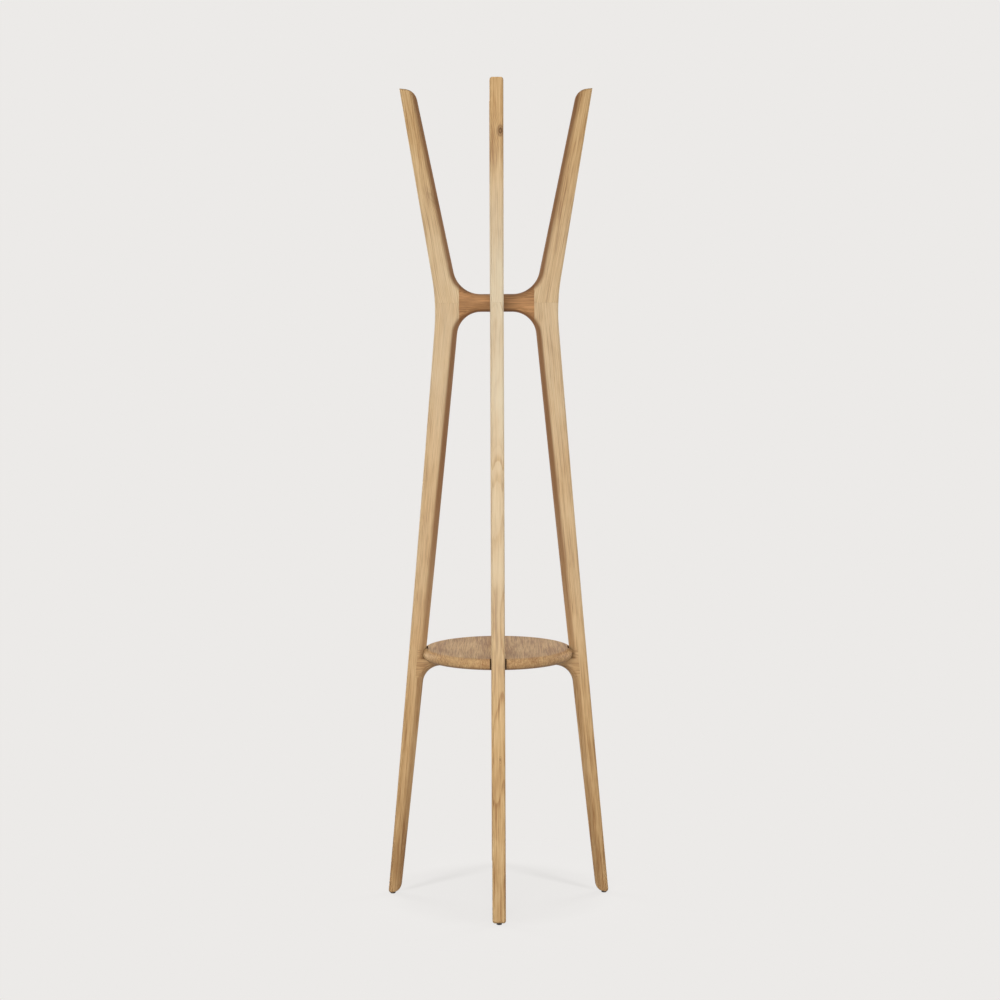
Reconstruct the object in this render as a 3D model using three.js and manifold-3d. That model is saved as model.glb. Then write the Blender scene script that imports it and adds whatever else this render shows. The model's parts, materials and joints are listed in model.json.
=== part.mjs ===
// Standing coat rack in solid oak: four bent posts around a round shelf.
//
// Each post is a leg below and an arm above, butted end to end at the waist and glued against
// the flared end of a hub rail. Two hub rails cross in a halving joint and hold the four posts
// together at the waist. Two bearer rails cross in the same way under the shelf, and their tall
// ends are let into the legs. The shelf is a disc of glued staves, notched round the posts and
// screwed down from below. Every foot stands on a press-in glide.
//
// Millimetres, +Z up. The origin is on the floor, on the rack's central axis.
// Front is -Y. A post is drawn in its own plane as (radius from the axis, height).

import * as THREE from 'three';
import { mergeVertices } from 'three/addons/utils/BufferGeometryUtils.js';
import Module from 'manifold-3d';

const wasm = await Module();
wasm.setup();

// ---- driving dimensions ----

const overallHeight = 1700;
const waistHeight = 1259; // the leg and the arm meet here, on the middle of the hub
const footRadius = 236; // outer face of a leg, run down to the floor
const waistRadius = 125.5; // outer faces of leg and arm, run on to where they cross
const tipRadius = 199.4; // outer face of an arm at its tip
const waistBend = 440; // radius of the outer face where it turns at the waist
const bendHalfHeight = 60; // the bend takes its slopes from this far above and below the waist
const legBow = 2; // how far the middle of a leg bows towards the axis

const postWidth = 27.5; // across the post, the same all the way up
const footDepth = 26.5; // radial depth of a leg at the floor
const waistDepth = 49.2; // radial depth of leg and arm at the waist
const tipDepth = 31.6; // radial depth of an arm at its tip
const outerRounding = 5; // on the two edges of a post's outer face
const innerRounding = 13; // on the two edges of a post's inner face, nearly a half round
const tipFall = 3.5; // how far the top of a tip falls from its outer to its inner side
const tipRound = 28; // the inner side of a tip, seen from the side
const footRise = 3; // how far the sole of a foot rises from its outer to its inner side
const footRound = 20; // the inner side of a foot, seen from the side
const footCorner = 6; // the outer corner of a foot, seen from the side

const hubRailHeight = 37;
const hubJointDepth = 47.1; // from the outer corner of the waist in to the hub rail's glue line
const hubUpperFillet = 57;
const hubLowerFillet = 50;

const shelfBite = 8.1; // how far the shelf's edge reaches past the inner faces of the legs
const shelfThickness = 23.5;
const shelfTop = 532.5;
const staveCount = 5;
const boardMargin = 10; // of the glued board that the shelf is sawn from, left all round it
const notchClearance = 2.5; // between a notch and the three faces of its post

const bearerThickness = 15; // of a bearer rail under the shelf
const bearerFillet = 39; // between a bearer rail and the leg below it
const housingWall = 18; // of a leg, left outside the end of a bearer rail
const housingDrop = 23.7; // from the underside of a bearer rail down to the housing's lower end
const housingLip = 3.5; // from the shelf's top down to the housing's upper end

const dowelDiameter = 10;
const hubDowelLength = 50;
const hubDowelInPost = 20; // how much of a hub dowel is in the leg or arm
const hubDowelSpread = 12; // above and below the middle of the hub rail
const waistDowelLength = 60;
const waistDowelInset = 17; // from the outer corner of the waist to the dowel's axis
const bearerDowelDiameter = 8;
const bearerDowelLength = 22;
const bearerDowelInLeg = 10;
const bearerDowelInset = 14; // from the ends of the housing to each dowel's axis

const screwDiameter = 4;
const screwHeadDiameter = 8;
const screwHeadHeight = 2.6;
const screwLength = 28;
const screwInset = 54; // from the edge of the shelf to each screw
const screwSink = 0.5; // of the head's face, above the underside of its rail
const screwTipRadius = 0.3;

const glideDiameter = 11;
const glideThickness = 4.2;
const glideReveal = 1.6; // of a glide, left showing below its foot
const glideInset = 9.6; // from the outer face of a leg, run down to the floor, to its glide's axis
const glideEdge = 0.8; // chamfer round the glide's lower edge
const glideStemDiameter = 6;
const glideStemLength = 14;

const jointGap = 0.3; // between two glued or seated faces
const holeClearance = 0.2; // between a dowel, stem or screw and the wall of its hole
const dowelEndRoom = 0.5; // between a dowel's end and the bottom of its hole
const leastFlat = 1; // width left flat between two roundings of a post

// ---- fineness of the curved stretches ----

const bendSteps = 6;
const filletSteps = 7;
const roundSteps = 5;
const cornerSteps = 3;
const legSteps = 5;
const outerBevelSteps = 2;
const innerBevelSteps = 4;
const discSteps = 64;
const nosingSteps = 6;
const holeSteps = 12;
const glideSteps = 24;

// ---- values worked out from them ----

const woodBottom = glideReveal;
const glideRadius = footRadius - glideInset;
const hubTop = waistHeight + hubRailHeight / 2;
const hubBottom = waistHeight - hubRailHeight / 2;
const hubReach = waistRadius - hubJointDepth;
const shelfBottom = shelfTop - shelfThickness;
const shelfRadius = legInner(shelfTop - shelfThickness / 2) + shelfBite;
const notchWidth = postWidth + 2 * notchClearance;
const bearerTop = shelfBottom - jointGap;
const bearerBottom = bearerTop - bearerThickness;
const housingFloor = bearerBottom - housingDrop;
const housingCeiling = shelfTop - housingLip;
const screwRadius = shelfRadius - screwInset;
const beyond = 2 * overallHeight; // far enough to pass any piece when cutting
const postNames = ['right', 'back', 'left', 'front']; // by quarter turns from +X

// ---- colours and finishes ----

const oak = { color: 0xc09a68, roughness: 0.55, metalness: 0 };
const shelfOak = { color: 0xb9966a, roughness: 0.55, metalness: 0 };
const beech = { color: 0xd3b087, roughness: 0.7, metalness: 0 };
const zincSteel = { color: 0xb4b6b8, roughness: 0.4, metalness: 1 };
const blackPlastic = { color: 0x1c1c1e, roughness: 0.5, metalness: 0 };

// ---- outlines ----

function at(radius, height) {
  return new THREE.Vector2(radius, height);
}

function mirrored(points) {
  return points.map((point) => at(-point.x, point.y)).reverse();
}

// The points of an arc that rounds off a corner between two straight stretches.
function roundedCorner(before, corner, after, radius, steps) {
  const back = before.clone().sub(corner).normalize();
  const ahead = after.clone().sub(corner).normalize();
  const half = Math.acos(THREE.MathUtils.clamp(back.dot(ahead), -1, 1)) / 2;
  const middle = back.clone().add(ahead).normalize();
  const centre = corner.clone().addScaledVector(middle, radius / Math.sin(half));
  const start = corner.clone().addScaledVector(back, radius / Math.tan(half)).sub(centre);
  const end = corner.clone().addScaledVector(ahead, radius / Math.tan(half)).sub(centre);
  const turn = Math.atan2(start.cross(end), start.dot(end));
  const points = [];
  for (let step = 0; step <= steps; step += 1) {
    const angle = (turn * step) / steps;
    points.push(start.clone().rotateAround(at(0, 0), angle).add(centre));
  }
  return points;
}

function legOuter(height) {
  const share = height / waistHeight;
  const straight = THREE.MathUtils.lerp(footRadius, waistRadius, share);
  return straight - 4 * legBow * share * (1 - share);
}

function legInner(height) {
  const share = height / waistHeight;
  return legOuter(height) - THREE.MathUtils.lerp(footDepth, waistDepth, share);
}

function armOuter(height) {
  const share = (height - waistHeight) / (overallHeight - waistHeight);
  return THREE.MathUtils.lerp(waistRadius, tipRadius, share);
}

function armInner(height) {
  const share = (height - waistHeight) / (overallHeight - waistHeight);
  return armOuter(height) - THREE.MathUtils.lerp(waistDepth, tipDepth, share);
}

// Points up or down an edge of a post, from one height to another.
function along(edge, from, to, steps) {
  const points = [];
  for (let step = 0; step <= steps; step += 1) {
    const height = THREE.MathUtils.lerp(from, to, step / steps);
    points.push(at(edge(height), height));
  }
  return points;
}

// Outer face, tip and foot of a whole post. It runs past the axis on the inner side.
function postOutline() {
  const soleTop = woodBottom + footRise;
  const footInside = at(legInner(soleTop), soleTop);
  const footOutside = at(legOuter(woodBottom), woodBottom);
  const lowLeg = at(legOuter(woodBottom + postWidth), woodBottom + postWidth);
  const lowInside = at(legInner(woodBottom + postWidth), woodBottom + postWidth);
  const belowBend = waistHeight - bendHalfHeight;
  const aboveBend = waistHeight + bendHalfHeight;
  const bend = roundedCorner(
    at(legOuter(belowBend), belowBend),
    at(waistRadius, waistHeight),
    at(armOuter(aboveBend), aboveBend),
    waistBend,
    bendSteps,
  );
  const footKnee = roundedCorner(lowInside, footInside, footOutside, footRound, roundSteps);
  const tipLow = overallHeight - tipFall;
  const tipInside = at(armInner(tipLow), tipLow);
  const tipOutside = at(tipRadius, overallHeight);
  const highInside = at(armInner(waistHeight + hubRailHeight), waistHeight + hubRailHeight);
  const tipKnee = roundedCorner(tipOutside, tipInside, highInside, tipRound, roundSteps);
  const footEdge = roundedCorner(footInside, footOutside, lowLeg, footCorner, cornerSteps);
  const legStart = footEdge[cornerSteps].y;
  const outerFace = along(legOuter, legStart, bend[0].y, legSteps).slice(1, -1);
  return [
    ...footEdge,
    ...outerFace,
    ...bend,
    tipOutside,
    ...tipKnee,
    at(-hubReach, tipKnee[roundSteps].y),
    at(-hubReach, footKnee[0].y),
    ...footKnee,
  ];
}

// The inner side of the arm, with the fillet that runs it into the top of the hub rail.
function hubUpperSide() {
  const corner = at(armInner(hubTop), hubTop);
  const high = at(armInner(overallHeight), overallHeight);
  return roundedCorner(at(0, hubTop), corner, high, hubUpperFillet, filletSteps);
}

// The inner side of the leg, with the fillet that runs it into the underside of the hub rail.
function hubLowerSide() {
  const corner = at(legInner(hubBottom), hubBottom);
  const under = hubBottom - 2 * hubLowerFillet;
  const low = at(legInner(under), under);
  return roundedCorner(low, corner, at(0, hubBottom), hubLowerFillet, filletSteps);
}

// The inner side of the leg below the shelf, filleted into the underside of a bearer rail.
function bearerLowerSide() {
  const corner = at(legInner(bearerBottom), bearerBottom);
  const under = bearerBottom - 2 * bearerFillet;
  const low = at(legInner(under), under);
  return roundedCorner(low, corner, at(0, bearerBottom), bearerFillet, filletSteps);
}

// ---- solids ----

function toSolid(geometry) {
  const bare = geometry.clone();
  bare.deleteAttribute('normal');
  bare.deleteAttribute('uv');
  const merged = mergeVertices(bare, 1e-4);
  const corners = merged.index.array;
  const kept = [];
  for (let i = 0; i < corners.length; i += 3) {
    const [a, b, c] = [corners[i], corners[i + 1], corners[i + 2]];
    if (a !== b && b !== c && c !== a) {
      kept.push(a, b, c);
    }
  }
  return new wasm.Manifold(
    new wasm.Mesh({
      numProp: 3,
      vertProperties: Float32Array.from(merged.attributes.position.array),
      triVerts: Uint32Array.from(kept),
    }),
  );
}

function toGeometry(solid) {
  const mesh = solid.getMesh();
  const geometry = new THREE.BufferGeometry();
  geometry.setAttribute('position', new THREE.BufferAttribute(mesh.vertProperties, 3));
  geometry.setIndex(new THREE.BufferAttribute(mesh.triVerts, 1));
  geometry.computeVertexNormals();
  return geometry;
}

// A solid of the post's width with an outline of (radius, height) and rounded edges.
function roundedPlank(outline, rounding, bevelSegments) {
  const radius = Math.min(rounding, (postWidth - leastFlat) / 2);
  const geometry = new THREE.ExtrudeGeometry(new THREE.Shape(outline), {
    depth: postWidth - 2 * radius,
    bevelThickness: radius,
    bevelSize: radius,
    bevelOffset: -radius,
    bevelSegments,
  });
  geometry.translate(0, 0, radius - postWidth / 2);
  geometry.rotateX(Math.PI / 2);
  return toSolid(geometry);
}

// A square-edged solid of the given outline, wider than any post.
function cutter(outline) {
  const geometry = new THREE.ExtrudeGeometry(new THREE.Shape(outline), {
    depth: 2 * postWidth,
    bevelEnabled: false,
  });
  geometry.translate(0, 0, -postWidth);
  geometry.rotateX(Math.PI / 2);
  return toSolid(geometry);
}

// A block between two X, two Y and two Z values.
function block(fromX, toX, fromY, toY, fromZ, toZ) {
  const geometry = new THREE.BoxGeometry(toX - fromX, toY - fromY, toZ - fromZ);
  geometry.translate((fromX + toX) / 2, (fromY + toY) / 2, (fromZ + toZ) / 2);
  return toSolid(geometry);
}

// A block between two radii and two heights, wider than any post.
function slice(fromRadius, toRadius, fromHeight, toHeight) {
  return block(fromRadius, toRadius, -postWidth, postWidth, fromHeight, toHeight);
}

function turned(profile, steps) {
  const geometry = new THREE.LatheGeometry(profile, steps);
  geometry.rotateX(Math.PI / 2);
  return toSolid(geometry);
}

// A round pin along X, between two radii and centred on a height.
function levelPin(diameter, from, to, height) {
  const geometry = new THREE.CylinderGeometry(diameter / 2, diameter / 2, to - from, holeSteps);
  geometry.rotateZ(Math.PI / 2);
  geometry.translate((from + to) / 2, 0, height);
  return toSolid(geometry);
}

// A round pin along Z, at a radius and between two heights.
function uprightPin(diameter, radius, from, to) {
  const geometry = new THREE.CylinderGeometry(diameter / 2, diameter / 2, to - from, holeSteps);
  geometry.rotateX(Math.PI / 2);
  geometry.translate(radius, 0, (from + to) / 2);
  return toSolid(geometry);
}

function withMirrorImage(solid) {
  return solid.add(solid.mirror([1, 0, 0]));
}

// ---- dowels, and the holes they sit in ----

const hubDowelTo = hubReach + hubDowelInPost;
const hubDowelFrom = hubDowelTo - hubDowelLength;
const hubDowelLow = waistHeight - hubDowelSpread;
const hubDowelHigh = waistHeight + hubDowelSpread;
const waistDowelRadius = waistRadius - waistDowelInset;
const bearerDowelLow = housingFloor + bearerDowelInset;
const bearerDowelHigh = housingCeiling - bearerDowelInset;

function hubDowel(height) {
  return levelPin(dowelDiameter, hubDowelFrom, hubDowelTo, height);
}

function hubDowelHole(height) {
  const from = hubDowelFrom - dowelEndRoom;
  return levelPin(dowelDiameter + 2 * holeClearance, from, hubDowelTo + dowelEndRoom, height);
}

function waistDowel() {
  const half = waistDowelLength / 2;
  return uprightPin(dowelDiameter, waistDowelRadius, waistHeight - half, waistHeight + half);
}

function waistDowelHole() {
  const half = waistDowelLength / 2 + dowelEndRoom;
  const diameter = dowelDiameter + 2 * holeClearance;
  return uprightPin(diameter, waistDowelRadius, waistHeight - half, waistHeight + half);
}

function bearerDowelEnd(height) {
  return legOuter(height) - housingWall + bearerDowelInLeg;
}

function bearerDowel(height) {
  const to = bearerDowelEnd(height);
  return levelPin(bearerDowelDiameter, to - bearerDowelLength, to, height);
}

function bearerDowelHole(height) {
  const to = bearerDowelEnd(height) + dowelEndRoom;
  const from = to - bearerDowelLength - 2 * dowelEndRoom;
  return levelPin(bearerDowelDiameter + 2 * holeClearance, from, to, height);
}

// ---- glides ----

function glide() {
  const foot = glideDiameter / 2;
  const stem = glideStemDiameter / 2;
  const tip = glideThickness + glideStemLength;
  const profile = [
    at(0, 0),
    at(foot - glideEdge, 0),
    at(foot, glideEdge),
    at(foot, glideThickness),
    at(stem, glideThickness),
    at(stem, tip - glideEdge),
    at(stem - glideEdge, tip),
    at(0, tip),
  ];
  return turned(profile, glideSteps).translate([glideRadius, 0, 0]);
}

// The seat that a glide and its stem are pressed into.
function glideSeat() {
  const foot = glideDiameter + 2 * holeClearance;
  const stem = glideStemDiameter + 2 * holeClearance;
  const tip = glideThickness + glideStemLength + dowelEndRoom;
  const recess = uprightPin(foot, glideRadius, -glideThickness, glideThickness + jointGap);
  return recess.add(uprightPin(stem, glideRadius, 0, tip));
}

// ---- posts ----

const postShell = roundedPlank(postOutline(), outerRounding, outerBevelSteps);

// The housing in a leg for the end of a bearer rail, made larger all round by a margin.
function housing(margin) {
  const low = housingFloor - margin;
  const high = housingCeiling + margin;
  return cutter([
    at(-beyond, low),
    at(legOuter(low) - housingWall + margin, low),
    at(legOuter(high) - housingWall + margin, high),
    at(-beyond, high),
  ]);
}

function leg() {
  const under = bearerLowerSide();
  const fillet = hubLowerSide();
  const below = woodBottom - 2 * innerRounding;
  const inner = [
    ...along(legInner, below, under[0].y, legSteps).slice(0, -1),
    ...under,
    at(under[filletSteps].x, housingCeiling),
    ...along(legInner, housingCeiling, fillet[0].y, legSteps).slice(0, -1),
    ...fillet,
  ];
  const side = roundedPlank(
    [...inner, at(-hubReach, hubBottom), at(-hubReach, beyond), at(beyond, beyond), at(beyond, below)],
    innerRounding,
    innerBevelSteps,
  );
  return postShell
    .intersect(side)
    .intersect(slice(hubReach + jointGap / 2, beyond, -beyond, waistHeight - jointGap / 2))
    .subtract(housing(jointGap / 2))
    .subtract(hubDowelHole(hubDowelLow))
    .subtract(waistDowelHole())
    .subtract(bearerDowelHole(bearerDowelLow))
    .subtract(bearerDowelHole(bearerDowelHigh))
    .subtract(glideSeat());
}

function arm() {
  const above = overallHeight + 2 * innerRounding;
  const side = roundedPlank(
    [
      at(-hubReach, hubTop),
      ...hubUpperSide(),
      at(armInner(above), above),
      at(beyond, above),
      at(beyond, 0),
      at(-hubReach, 0),
    ],
    innerRounding,
    innerBevelSteps,
  );
  return postShell
    .intersect(side)
    .intersect(slice(hubReach + jointGap / 2, beyond, waistHeight + jointGap / 2, 2 * beyond))
    .subtract(hubDowelHole(hubDowelHigh))
    .subtract(waistDowelHole());
}

// ---- rails ----

// Takes the upper or the lower half out of the middle of a rail, where the other rail passes.
function halved(rail, middleHeight, keepsLower) {
  const half = postWidth / 2 + jointGap;
  const from = keepsLower ? middleHeight - jointGap / 2 : 0;
  const to = keepsLower ? beyond : middleHeight + jointGap / 2;
  return rail.subtract(slice(-half, half, from, to));
}

function hubRail(keepsLower) {
  const upper = hubUpperSide();
  const lower = hubLowerSide();
  const outline = [
    ...mirrored(upper),
    ...upper,
    at(2 * waistRadius, upper[filletSteps].y),
    at(2 * waistRadius, lower[0].y),
    ...lower,
    ...mirrored(lower),
    at(-2 * waistRadius, lower[0].y),
    at(-2 * waistRadius, upper[filletSteps].y),
  ];
  const reach = hubReach - jointGap / 2;
  const rail = roundedPlank(outline, innerRounding, innerBevelSteps)
    .intersect(slice(-reach, reach, 0, beyond))
    .subtract(withMirrorImage(hubDowelHole(hubDowelLow)))
    .subtract(withMirrorImage(hubDowelHole(hubDowelHigh)));
  return halved(rail, waistHeight, keepsLower);
}

function bearerRail(keepsLower) {
  const under = bearerLowerSide();
  const low = under[0].y - 2 * innerRounding;
  const high = shelfTop + 2 * innerRounding;
  const lowest = at(legInner(low), low);
  const within = housing(-jointGap / 2);
  const railOutline = [
    lowest,
    ...under,
    ...mirrored(under),
    at(-lowest.x, low),
    at(-2 * shelfRadius, low),
    at(-2 * shelfRadius, high),
    at(2 * shelfRadius, high),
    at(2 * shelfRadius, low),
  ];
  const rail = roundedPlank(railOutline, innerRounding, innerBevelSteps)
    .intersect(within)
    .intersect(within.mirror([1, 0, 0]))
    .intersect(slice(-beyond, beyond, 0, bearerTop));
  const endOutline = [
    ...along(legInner, low, high, legSteps),
    at(2 * shelfRadius, high),
    at(2 * shelfRadius, low),
  ];
  const end = roundedPlank(endOutline, innerRounding, innerBevelSteps).intersect(within);
  const whole = rail
    .add(withMirrorImage(end))
    .subtract(withMirrorImage(bearerDowelHole(bearerDowelLow)))
    .subtract(withMirrorImage(bearerDowelHole(bearerDowelHigh)))
    .subtract(withMirrorImage(screw(holeClearance)));
  return halved(whole, (bearerBottom + bearerTop) / 2, keepsLower);
}

// A countersunk screw, head down, made larger all round by a margin when it cuts its hole.
function screw(margin) {
  const shank = screwDiameter / 2 + margin;
  const head = screwHeadDiameter / 2 + margin;
  const profile = [
    at(0, -margin),
    at(head, -margin),
    at(head, margin),
    at(shank, screwHeadHeight),
    at(shank, screwLength - screwDiameter),
    at(screwTipRadius + margin, screwLength + margin),
    at(0, screwLength + margin),
  ];
  return turned(profile, holeSteps).translate([screwRadius, 0, bearerBottom + screwSink]);
}

// ---- shelf ----

function shelfDisc() {
  const nose = shelfThickness / 2;
  const profile = [at(0, shelfBottom)];
  for (let step = 0; step <= nosingSteps; step += 1) {
    const angle = Math.PI * (step / nosingSteps - 1 / 2);
    const reach = shelfRadius - nose + nose * Math.cos(angle);
    profile.push(at(reach, shelfBottom + nose + nose * Math.sin(angle)));
  }
  profile.push(at(0, shelfTop));
  return turned(profile, discSteps);
}

function quarterTurned(solid, quarters) {
  return solid.rotate([0, 0, 90 * quarters]);
}

function notchedDisc() {
  let disc = shelfDisc();
  const notchReach = legInner(shelfTop) - notchClearance;
  const half = notchWidth / 2;
  const notch = block(notchReach, beyond, -half, half, 0, beyond);
  const hole = screw(holeClearance);
  for (let quarters = 0; quarters < postNames.length; quarters += 1) {
    disc = disc.subtract(quarterTurned(notch, quarters)).subtract(quarterTurned(hole, quarters));
  }
  return disc;
}

// The disc sawn into its staves, from left to right. The grain runs from front to back.
function shelfStaves() {
  const disc = notchedDisc();
  const boardReach = shelfRadius + boardMargin;
  const width = (2 * boardReach) / staveCount;
  const staves = [];
  for (let index = 0; index < staveCount; index += 1) {
    const left = -boardReach + index * width + jointGap / 2;
    const right = left + width - jointGap;
    staves.push(disc.intersect(block(left, right, -beyond, beyond, 0, beyond)));
  }
  return staves;
}

// ---- assembly ----

function piece(name, solid, finish) {
  const mesh = new THREE.Mesh(toGeometry(solid), new THREE.MeshStandardMaterial(finish));
  mesh.name = name;
  return mesh;
}

const rack = new THREE.Group();

const legSolid = leg();
const armSolid = arm();
const glideSolid = glide();

postNames.forEach((side, quarters) => {
  const post = new THREE.Group();
  post.rotation.z = (quarters * Math.PI) / 2;
  post.add(
    piece(`leg_${side}`, legSolid, oak),
    piece(`arm_${side}`, armSolid, oak),
    piece(`glide_${side}`, glideSolid, blackPlastic),
    piece(`waist_dowel_${side}`, waistDowel(), beech),
    piece(`hub_dowel_lower_${side}`, hubDowel(hubDowelLow), beech),
    piece(`hub_dowel_upper_${side}`, hubDowel(hubDowelHigh), beech),
    piece(`bearer_dowel_lower_${side}`, bearerDowel(bearerDowelLow), beech),
    piece(`bearer_dowel_upper_${side}`, bearerDowel(bearerDowelHigh), beech),
    piece(`shelf_screw_${side}`, screw(0), zincSteel),
  );
  rack.add(post);
});

const hubRailAcross = piece('hub_rail_left_right', hubRail(true), oak);
const hubRailThrough = piece('hub_rail_front_back', hubRail(false), oak);
hubRailThrough.rotation.z = Math.PI / 2;
rack.add(hubRailAcross, hubRailThrough);

const bearerAcross = piece('bearer_rail_left_right', bearerRail(true), oak);
const bearerThrough = piece('bearer_rail_front_back', bearerRail(false), oak);
bearerThrough.rotation.z = Math.PI / 2;
rack.add(bearerAcross, bearerThrough);

shelfStaves().forEach((stave, index) => {
  rack.add(piece(`shelf_stave_${index + 1}`, stave, shelfOak));
});

export default rack;
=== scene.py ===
"""Standing coat rack in oiled oak: four bent posts around a round shelf.

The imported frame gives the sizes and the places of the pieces. Each oak piece is cut here
again as a fine mesh with its own run of grain: legs, arms, hub rails, bearer rails and the
staves of the shelf. Dowels, screws and glides are turned and then set round the axis.

Metres, +Z up, front is -Y. A post is drawn in its own plane as (radius, height), pointing
along +X, and is then turned about the axis to its own side.
"""

import json
import math

import bmesh
import bpy
from bpy.props import FloatProperty, FloatVectorProperty, IntProperty, PointerProperty
from mathutils import Matrix, Vector

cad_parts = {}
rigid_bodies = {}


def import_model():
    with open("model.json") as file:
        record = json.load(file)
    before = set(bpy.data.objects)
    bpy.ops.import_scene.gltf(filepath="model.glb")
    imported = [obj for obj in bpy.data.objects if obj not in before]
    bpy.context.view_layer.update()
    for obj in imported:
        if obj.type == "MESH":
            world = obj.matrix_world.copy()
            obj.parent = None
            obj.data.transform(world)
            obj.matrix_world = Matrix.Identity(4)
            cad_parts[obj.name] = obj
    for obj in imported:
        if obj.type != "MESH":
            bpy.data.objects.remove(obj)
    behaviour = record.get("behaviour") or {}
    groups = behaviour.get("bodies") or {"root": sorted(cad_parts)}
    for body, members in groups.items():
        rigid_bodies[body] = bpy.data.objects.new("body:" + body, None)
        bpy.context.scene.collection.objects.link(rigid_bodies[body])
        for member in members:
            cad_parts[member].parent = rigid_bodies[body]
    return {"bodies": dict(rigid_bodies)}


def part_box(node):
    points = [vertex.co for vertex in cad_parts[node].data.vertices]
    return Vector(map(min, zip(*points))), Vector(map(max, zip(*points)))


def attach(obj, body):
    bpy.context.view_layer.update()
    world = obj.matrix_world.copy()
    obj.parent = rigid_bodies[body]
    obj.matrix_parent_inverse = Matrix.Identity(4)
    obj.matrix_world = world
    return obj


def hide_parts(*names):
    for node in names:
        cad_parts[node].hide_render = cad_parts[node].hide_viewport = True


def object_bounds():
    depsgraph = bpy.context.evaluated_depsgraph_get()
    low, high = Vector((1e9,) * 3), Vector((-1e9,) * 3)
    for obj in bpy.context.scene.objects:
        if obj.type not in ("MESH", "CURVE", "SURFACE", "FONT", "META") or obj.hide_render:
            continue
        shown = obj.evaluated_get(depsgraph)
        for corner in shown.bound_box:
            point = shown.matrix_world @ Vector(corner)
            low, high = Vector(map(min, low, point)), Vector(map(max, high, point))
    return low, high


bl_info = {
    "name": "Oak coat rack",
    "version": (1, 0, 0),
    "blender": (4, 5, 0),
    "location": "3D View > Sidebar > Coat rack",
    "description": "Builds a standing coat rack round its packed frame",
    "category": "Object",
}

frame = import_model()
FRAME_LOW, FRAME_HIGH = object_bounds()

MM = 0.001
SIDES = ("right", "back", "left", "front")  # by quarter turns from +X
(BODY,) = frame["bodies"]  # nothing moves, so there is one
BEYOND = 4.0  # far enough to pass any piece when cutting

JOINT_GAP = 0.3 * MM  # the frame's own gap between two glued faces
TINY = 0.1 * MM

SCREW = "shelf_screw_right"
GLIDE = "glide_right"
LEG_LOW, LEG_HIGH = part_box("leg_right")
HUB_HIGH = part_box("hub_rail_left_right")[1]
STAVE_LOW, STAVE_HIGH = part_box("shelf_stave_3")
SHELF_RADIUS = -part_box("shelf_stave_1")[0].x
BEARER_LOW, BEARER_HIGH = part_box("bearer_rail_left_right")


# ---- sizes and colours that a user would change ----


def length(name, default, description):
    """A length in metres."""
    return FloatProperty(
        name=name, default=default, description=description, unit="LENGTH", precision=4
    )


def colour(name, rgb, description):
    """A colour, given as the 0 to 255 values of a colour chart."""
    return FloatVectorProperty(
        name=name,
        default=[linear(channel / 255) for channel in rgb],
        description=description,
        subtype="COLOR",
        size=3,
        min=0,
        max=1,
    )


def share(name, default, description):
    """A number without a unit."""
    return FloatProperty(name=name, default=default, description=description, precision=3)


def linear(channel):
    """The linear value of a display value from 0 to 1."""
    return channel / 12.92 if channel <= 0.04045 else ((channel + 0.055) / 1.055) ** 2.4


class PostSizes(bpy.types.PropertyGroup):
    """A post: the leg below the waist and the arm above it."""

    width: length("Width", LEG_HIGH.y - LEG_LOW.y, "Across a post")
    foot_radius: length("Foot radius", 0.236, "Outer face of a leg, run down to the floor")
    waist_radius: length("Waist radius", 0.1255, "Outer corner of the waist")
    tip_radius: length("Tip radius", 0.1994, "Outer face of an arm at its tip")
    waist_bend: length("Waist bend", 0.44, "Radius of the outer face at the waist")
    bend_half: length("Bend half height", 0.06, "From the waist to the ends of the bend")
    bow: length("Leg bow", 0.002, "How far the middle of a leg bows towards the axis")
    foot_depth: length("Foot depth", 0.0265, "Radial depth of a leg at the floor")
    waist_depth: length("Waist depth", 0.0492, "Radial depth of a post at the waist")
    tip_depth: length("Tip depth", 0.0316, "Radial depth of an arm at its tip")
    outer_rounding: length("Outer rounding", 0.005, "On the edges of the outer face")
    inner_rounding: length("Inner rounding", 0.018, "How far the inner face curves back")
    inner_fullness: share("Inner fullness", 2.0, "2 is an ellipse, and less is nearer to a roof")
    tip_fall: length("Tip fall", 0.0035, "Fall of a tip's top from its outer to its inner side")
    tip_round: length("Tip round", 0.028, "Inner side of a tip, seen from the side")
    foot_rise: length("Foot rise", 0.003, "Rise of a sole from its outer to its inner side")
    foot_round: length("Foot round", 0.0225, "Inner side of a foot, seen from the side")
    foot_corner: length("Foot corner", 0.006, "Outer corner of a foot, seen from the side")


class RailSizes(bpy.types.PropertyGroup):
    """The crossed rails at the waist and under the shelf."""

    hub_height: length("Hub height", 0.037, "Height of a hub rail between its flared ends")
    hub_upper_fillet: length("Hub upper fillet", 0.057, "From the hub rail up into an arm")
    hub_lower_fillet: length("Hub lower fillet", 0.050, "From the hub rail down into a leg")
    bearer_thickness: length("Bearer thickness", 0.015, "Of a bearer rail under the shelf")
    bearer_fillet: length("Bearer fillet", 0.039, "From a bearer rail down into a leg")
    housing_wall: length("Housing wall", 0.018, "Of a leg, outside the end of a bearer rail")
    glue_line: length("Glue line", 0.0001, "Between two glued faces")


class ShelfSizes(bpy.types.PropertyGroup):
    """The round shelf."""

    notch_room: length("Notch room", 0.0034, "Between a notch and the faces of its post")


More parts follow.
